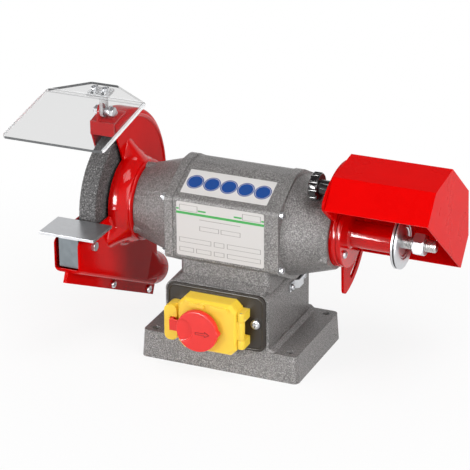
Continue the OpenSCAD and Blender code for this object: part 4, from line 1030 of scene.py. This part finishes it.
class GRINDER_OT_stage(bpy.types.Operator):
    """White floor, soft lamps and the camera"""
    bl_idname = "grinder.stage"
    bl_label = "Stage"

    def execute(self, context):
        look = Look(context)
        scene = context.scene
        settings = look.stage
        camera = bpy.data.objects.new("camera", bpy.data.cameras.new("camera"))
        camera.data.lens = settings.lens
        camera.data.sensor_width = 36
        camera.data.clip_end = 50
        eye, aim = Vector(settings.eye), Vector(settings.aim)
        turn = (aim - eye).to_track_quat("-Z", "Y").to_matrix().to_4x4()
        camera.matrix_world = (Matrix.Translation(eye) @ turn
                               @ Matrix.Rotation(settings.roll, 4, "Z"))
        scene.collection.objects.link(camera)
        scene.camera = camera

        reach = 6.0
        mesh = bpy.data.meshes.new("floor")
        mesh.from_pydata([(-reach, -reach, 0), (reach, -reach, 0), (reach, reach, 0),
                          (-reach, reach, 0)], [], [(0, 1, 2, 3)])
        floor = bpy.data.objects.new("floor", mesh)
        scene.collection.objects.link(floor)
        mesh.materials.append(self.floor_paint())

        made = {name: self.lamp(scene, name, place, size, getattr(settings, name))
                for name, (place, size) in LAMPS.items()}
        made["gleam"].visible_diffuse = False
        self.world(scene)
        scene.view_settings.view_transform = "Standard"
        return {"FINISHED"}

    def lamp(self, scene, name, place, size, watts):
        """A square soft lamp that points at the motor."""
        data = bpy.data.lights.new(name, "AREA")
        data.size = size
        data.energy = watts
        lamp = bpy.data.objects.new(name, data)
        turn = (Vector(LAMP_AIM) - Vector(place)).to_track_quat("-Z", "Y")
        lamp.matrix_world = Matrix.Translation(place) @ turn.to_matrix().to_4x4()
        scene.collection.objects.link(lamp)
        return lamp

    def seen(self, tree):
        """1 on the rays that show a background, 0 on those that light the object."""
        path = tree.nodes.new("ShaderNodeLightPath")
        first, *others = [path.outputs[f"Is {ray} Ray"]
                          for ray in ("Camera", "Glossy", "Transmission")]
        for other in others:
            most = tree.nodes.new("ShaderNodeMath")
            most.operation = "MAXIMUM"
            tree.links.new(first, most.inputs[0])
            tree.links.new(other, most.inputs[1])
            first = most.outputs[0]
        return first

    def floor_paint(self):
        """White floor; its glow is only seen, and fades near the foot to keep the shadow."""
        made = Finish("floor_white", (0.86, 0.86, 0.86), roughness=0.9, specular_ior_level=0.2)
        tree = made.tree
        x, y, _ = made.axes()
        far = (x * x + y * y).root()
        fade_start, fade_length, near_glow = 0.16, 0.42, 0.86
        away = ((far - fade_start) / fade_length).clamp()
        glow = tree.nodes.new("ShaderNodeEmission")
        blend = tree.nodes.new("ShaderNodeMixShader")
        made.feed(blend.inputs[0], Value(made, self.seen(tree))
                  * (near_glow + (1 - near_glow) * away))
        tree.links.new(made.surface.outputs[0], blend.inputs[1])
        tree.links.new(glow.outputs[0], blend.inputs[2])
        output = next(n for n in tree.nodes if n.type == "OUTPUT_MATERIAL")
        tree.links.new(blend.outputs[0], output.inputs[0])
        return made.material

    def world(self, scene):
        """A soft grey world that shows white to the camera, to glass and, low down, to gloss."""
        world = scene.world or bpy.data.worlds.new("world")
        scene.world = world
        world.use_nodes = True
        tree = world.node_tree
        tree.nodes.clear()
        output = tree.nodes.new("ShaderNodeOutputWorld")
        blend = tree.nodes.new("ShaderNodeMixShader")
        for place, strength in ((1, AMBIENT), (2, 1.0)):
            part = tree.nodes.new("ShaderNodeBackground")
            part.inputs["Color"].default_value = (1, 1, 1, 1)
            part.inputs["Strength"].default_value = strength
            tree.links.new(part.outputs[0], blend.inputs[place])
        coordinates = tree.nodes.new("ShaderNodeTexCoord")
        split = tree.nodes.new("ShaderNodeSeparateXYZ")
        tree.links.new(coordinates.outputs["Generated"], split.inputs[0])
        low = tree.nodes.new("ShaderNodeMapRange")
        tree.links.new(split.outputs["Z"], low.inputs["Value"])
        for key, value in (("From Min", 0.35), ("From Max", 0.7), ("To Min", 1.0), ("To Max", 0.0)):
            low.inputs[key].default_value = value
        both = tree.nodes.new("ShaderNodeMath")
        both.operation = "MULTIPLY"
        tree.links.new(self.seen(tree), both.inputs[0])
        tree.links.new(low.outputs[0], both.inputs[1])
        tree.links.new(both.outputs[0], blend.inputs[0])
        tree.links.new(blend.outputs[0], output.inputs[0])


OPERATORS = (GRINDER_OT_castings, GRINDER_OT_guard, GRINDER_OT_wheel, GRINDER_OT_spindle,
             GRINDER_OT_shield, GRINDER_OT_hood, GRINDER_OT_switch, GRINDER_OT_plates,
             GRINDER_OT_hardware, GRINDER_OT_stage)
SETTINGS = (("grinder_colours", GrinderColours), ("grinder_details", GrinderDetails),
            ("grinder_stage", GrinderStage))


class GRINDER_PT_panel(bpy.types.Panel):
    """Lists the steps that dress the grinder"""
    bl_label = "Bench grinder"
    bl_space_type = "VIEW_3D"
    bl_region_type = "UI"
    bl_category = "Grinder"

    def draw(self, context):
        for group, _ in SETTINGS:
            box = self.layout.box()
            settings = getattr(context.scene, group)
            for name in settings.__annotations__:
                box.prop(settings, name)
        for step in OPERATORS:
            self.layout.operator(step.bl_idname)


def register():
    """Registers the settings, the steps and the panel."""
    for name, group in SETTINGS:
        bpy.utils.register_class(group)
        setattr(bpy.types.Scene, name, PointerProperty(type=group))
    for step in (*OPERATORS, GRINDER_PT_panel):
        bpy.utils.register_class(step)


def unregister():
    """Takes everything off again, in the opposite order."""
    for step in (GRINDER_PT_panel, *reversed(OPERATORS)):
        bpy.utils.unregister_class(step)
    for name, group in reversed(SETTINGS):
        delattr(bpy.types.Scene, name)
        bpy.utils.unregister_class(group)


def main():
    """Runs every step in order."""
    register()
    for step in OPERATORS:
        group, name = step.bl_idname.split(".")
        if getattr(getattr(bpy.ops, group), name)() != {"FINISHED"}:
            raise RuntimeError(f"{step.bl_label} didn't finish")


if __name__ == "__main__":
    main()
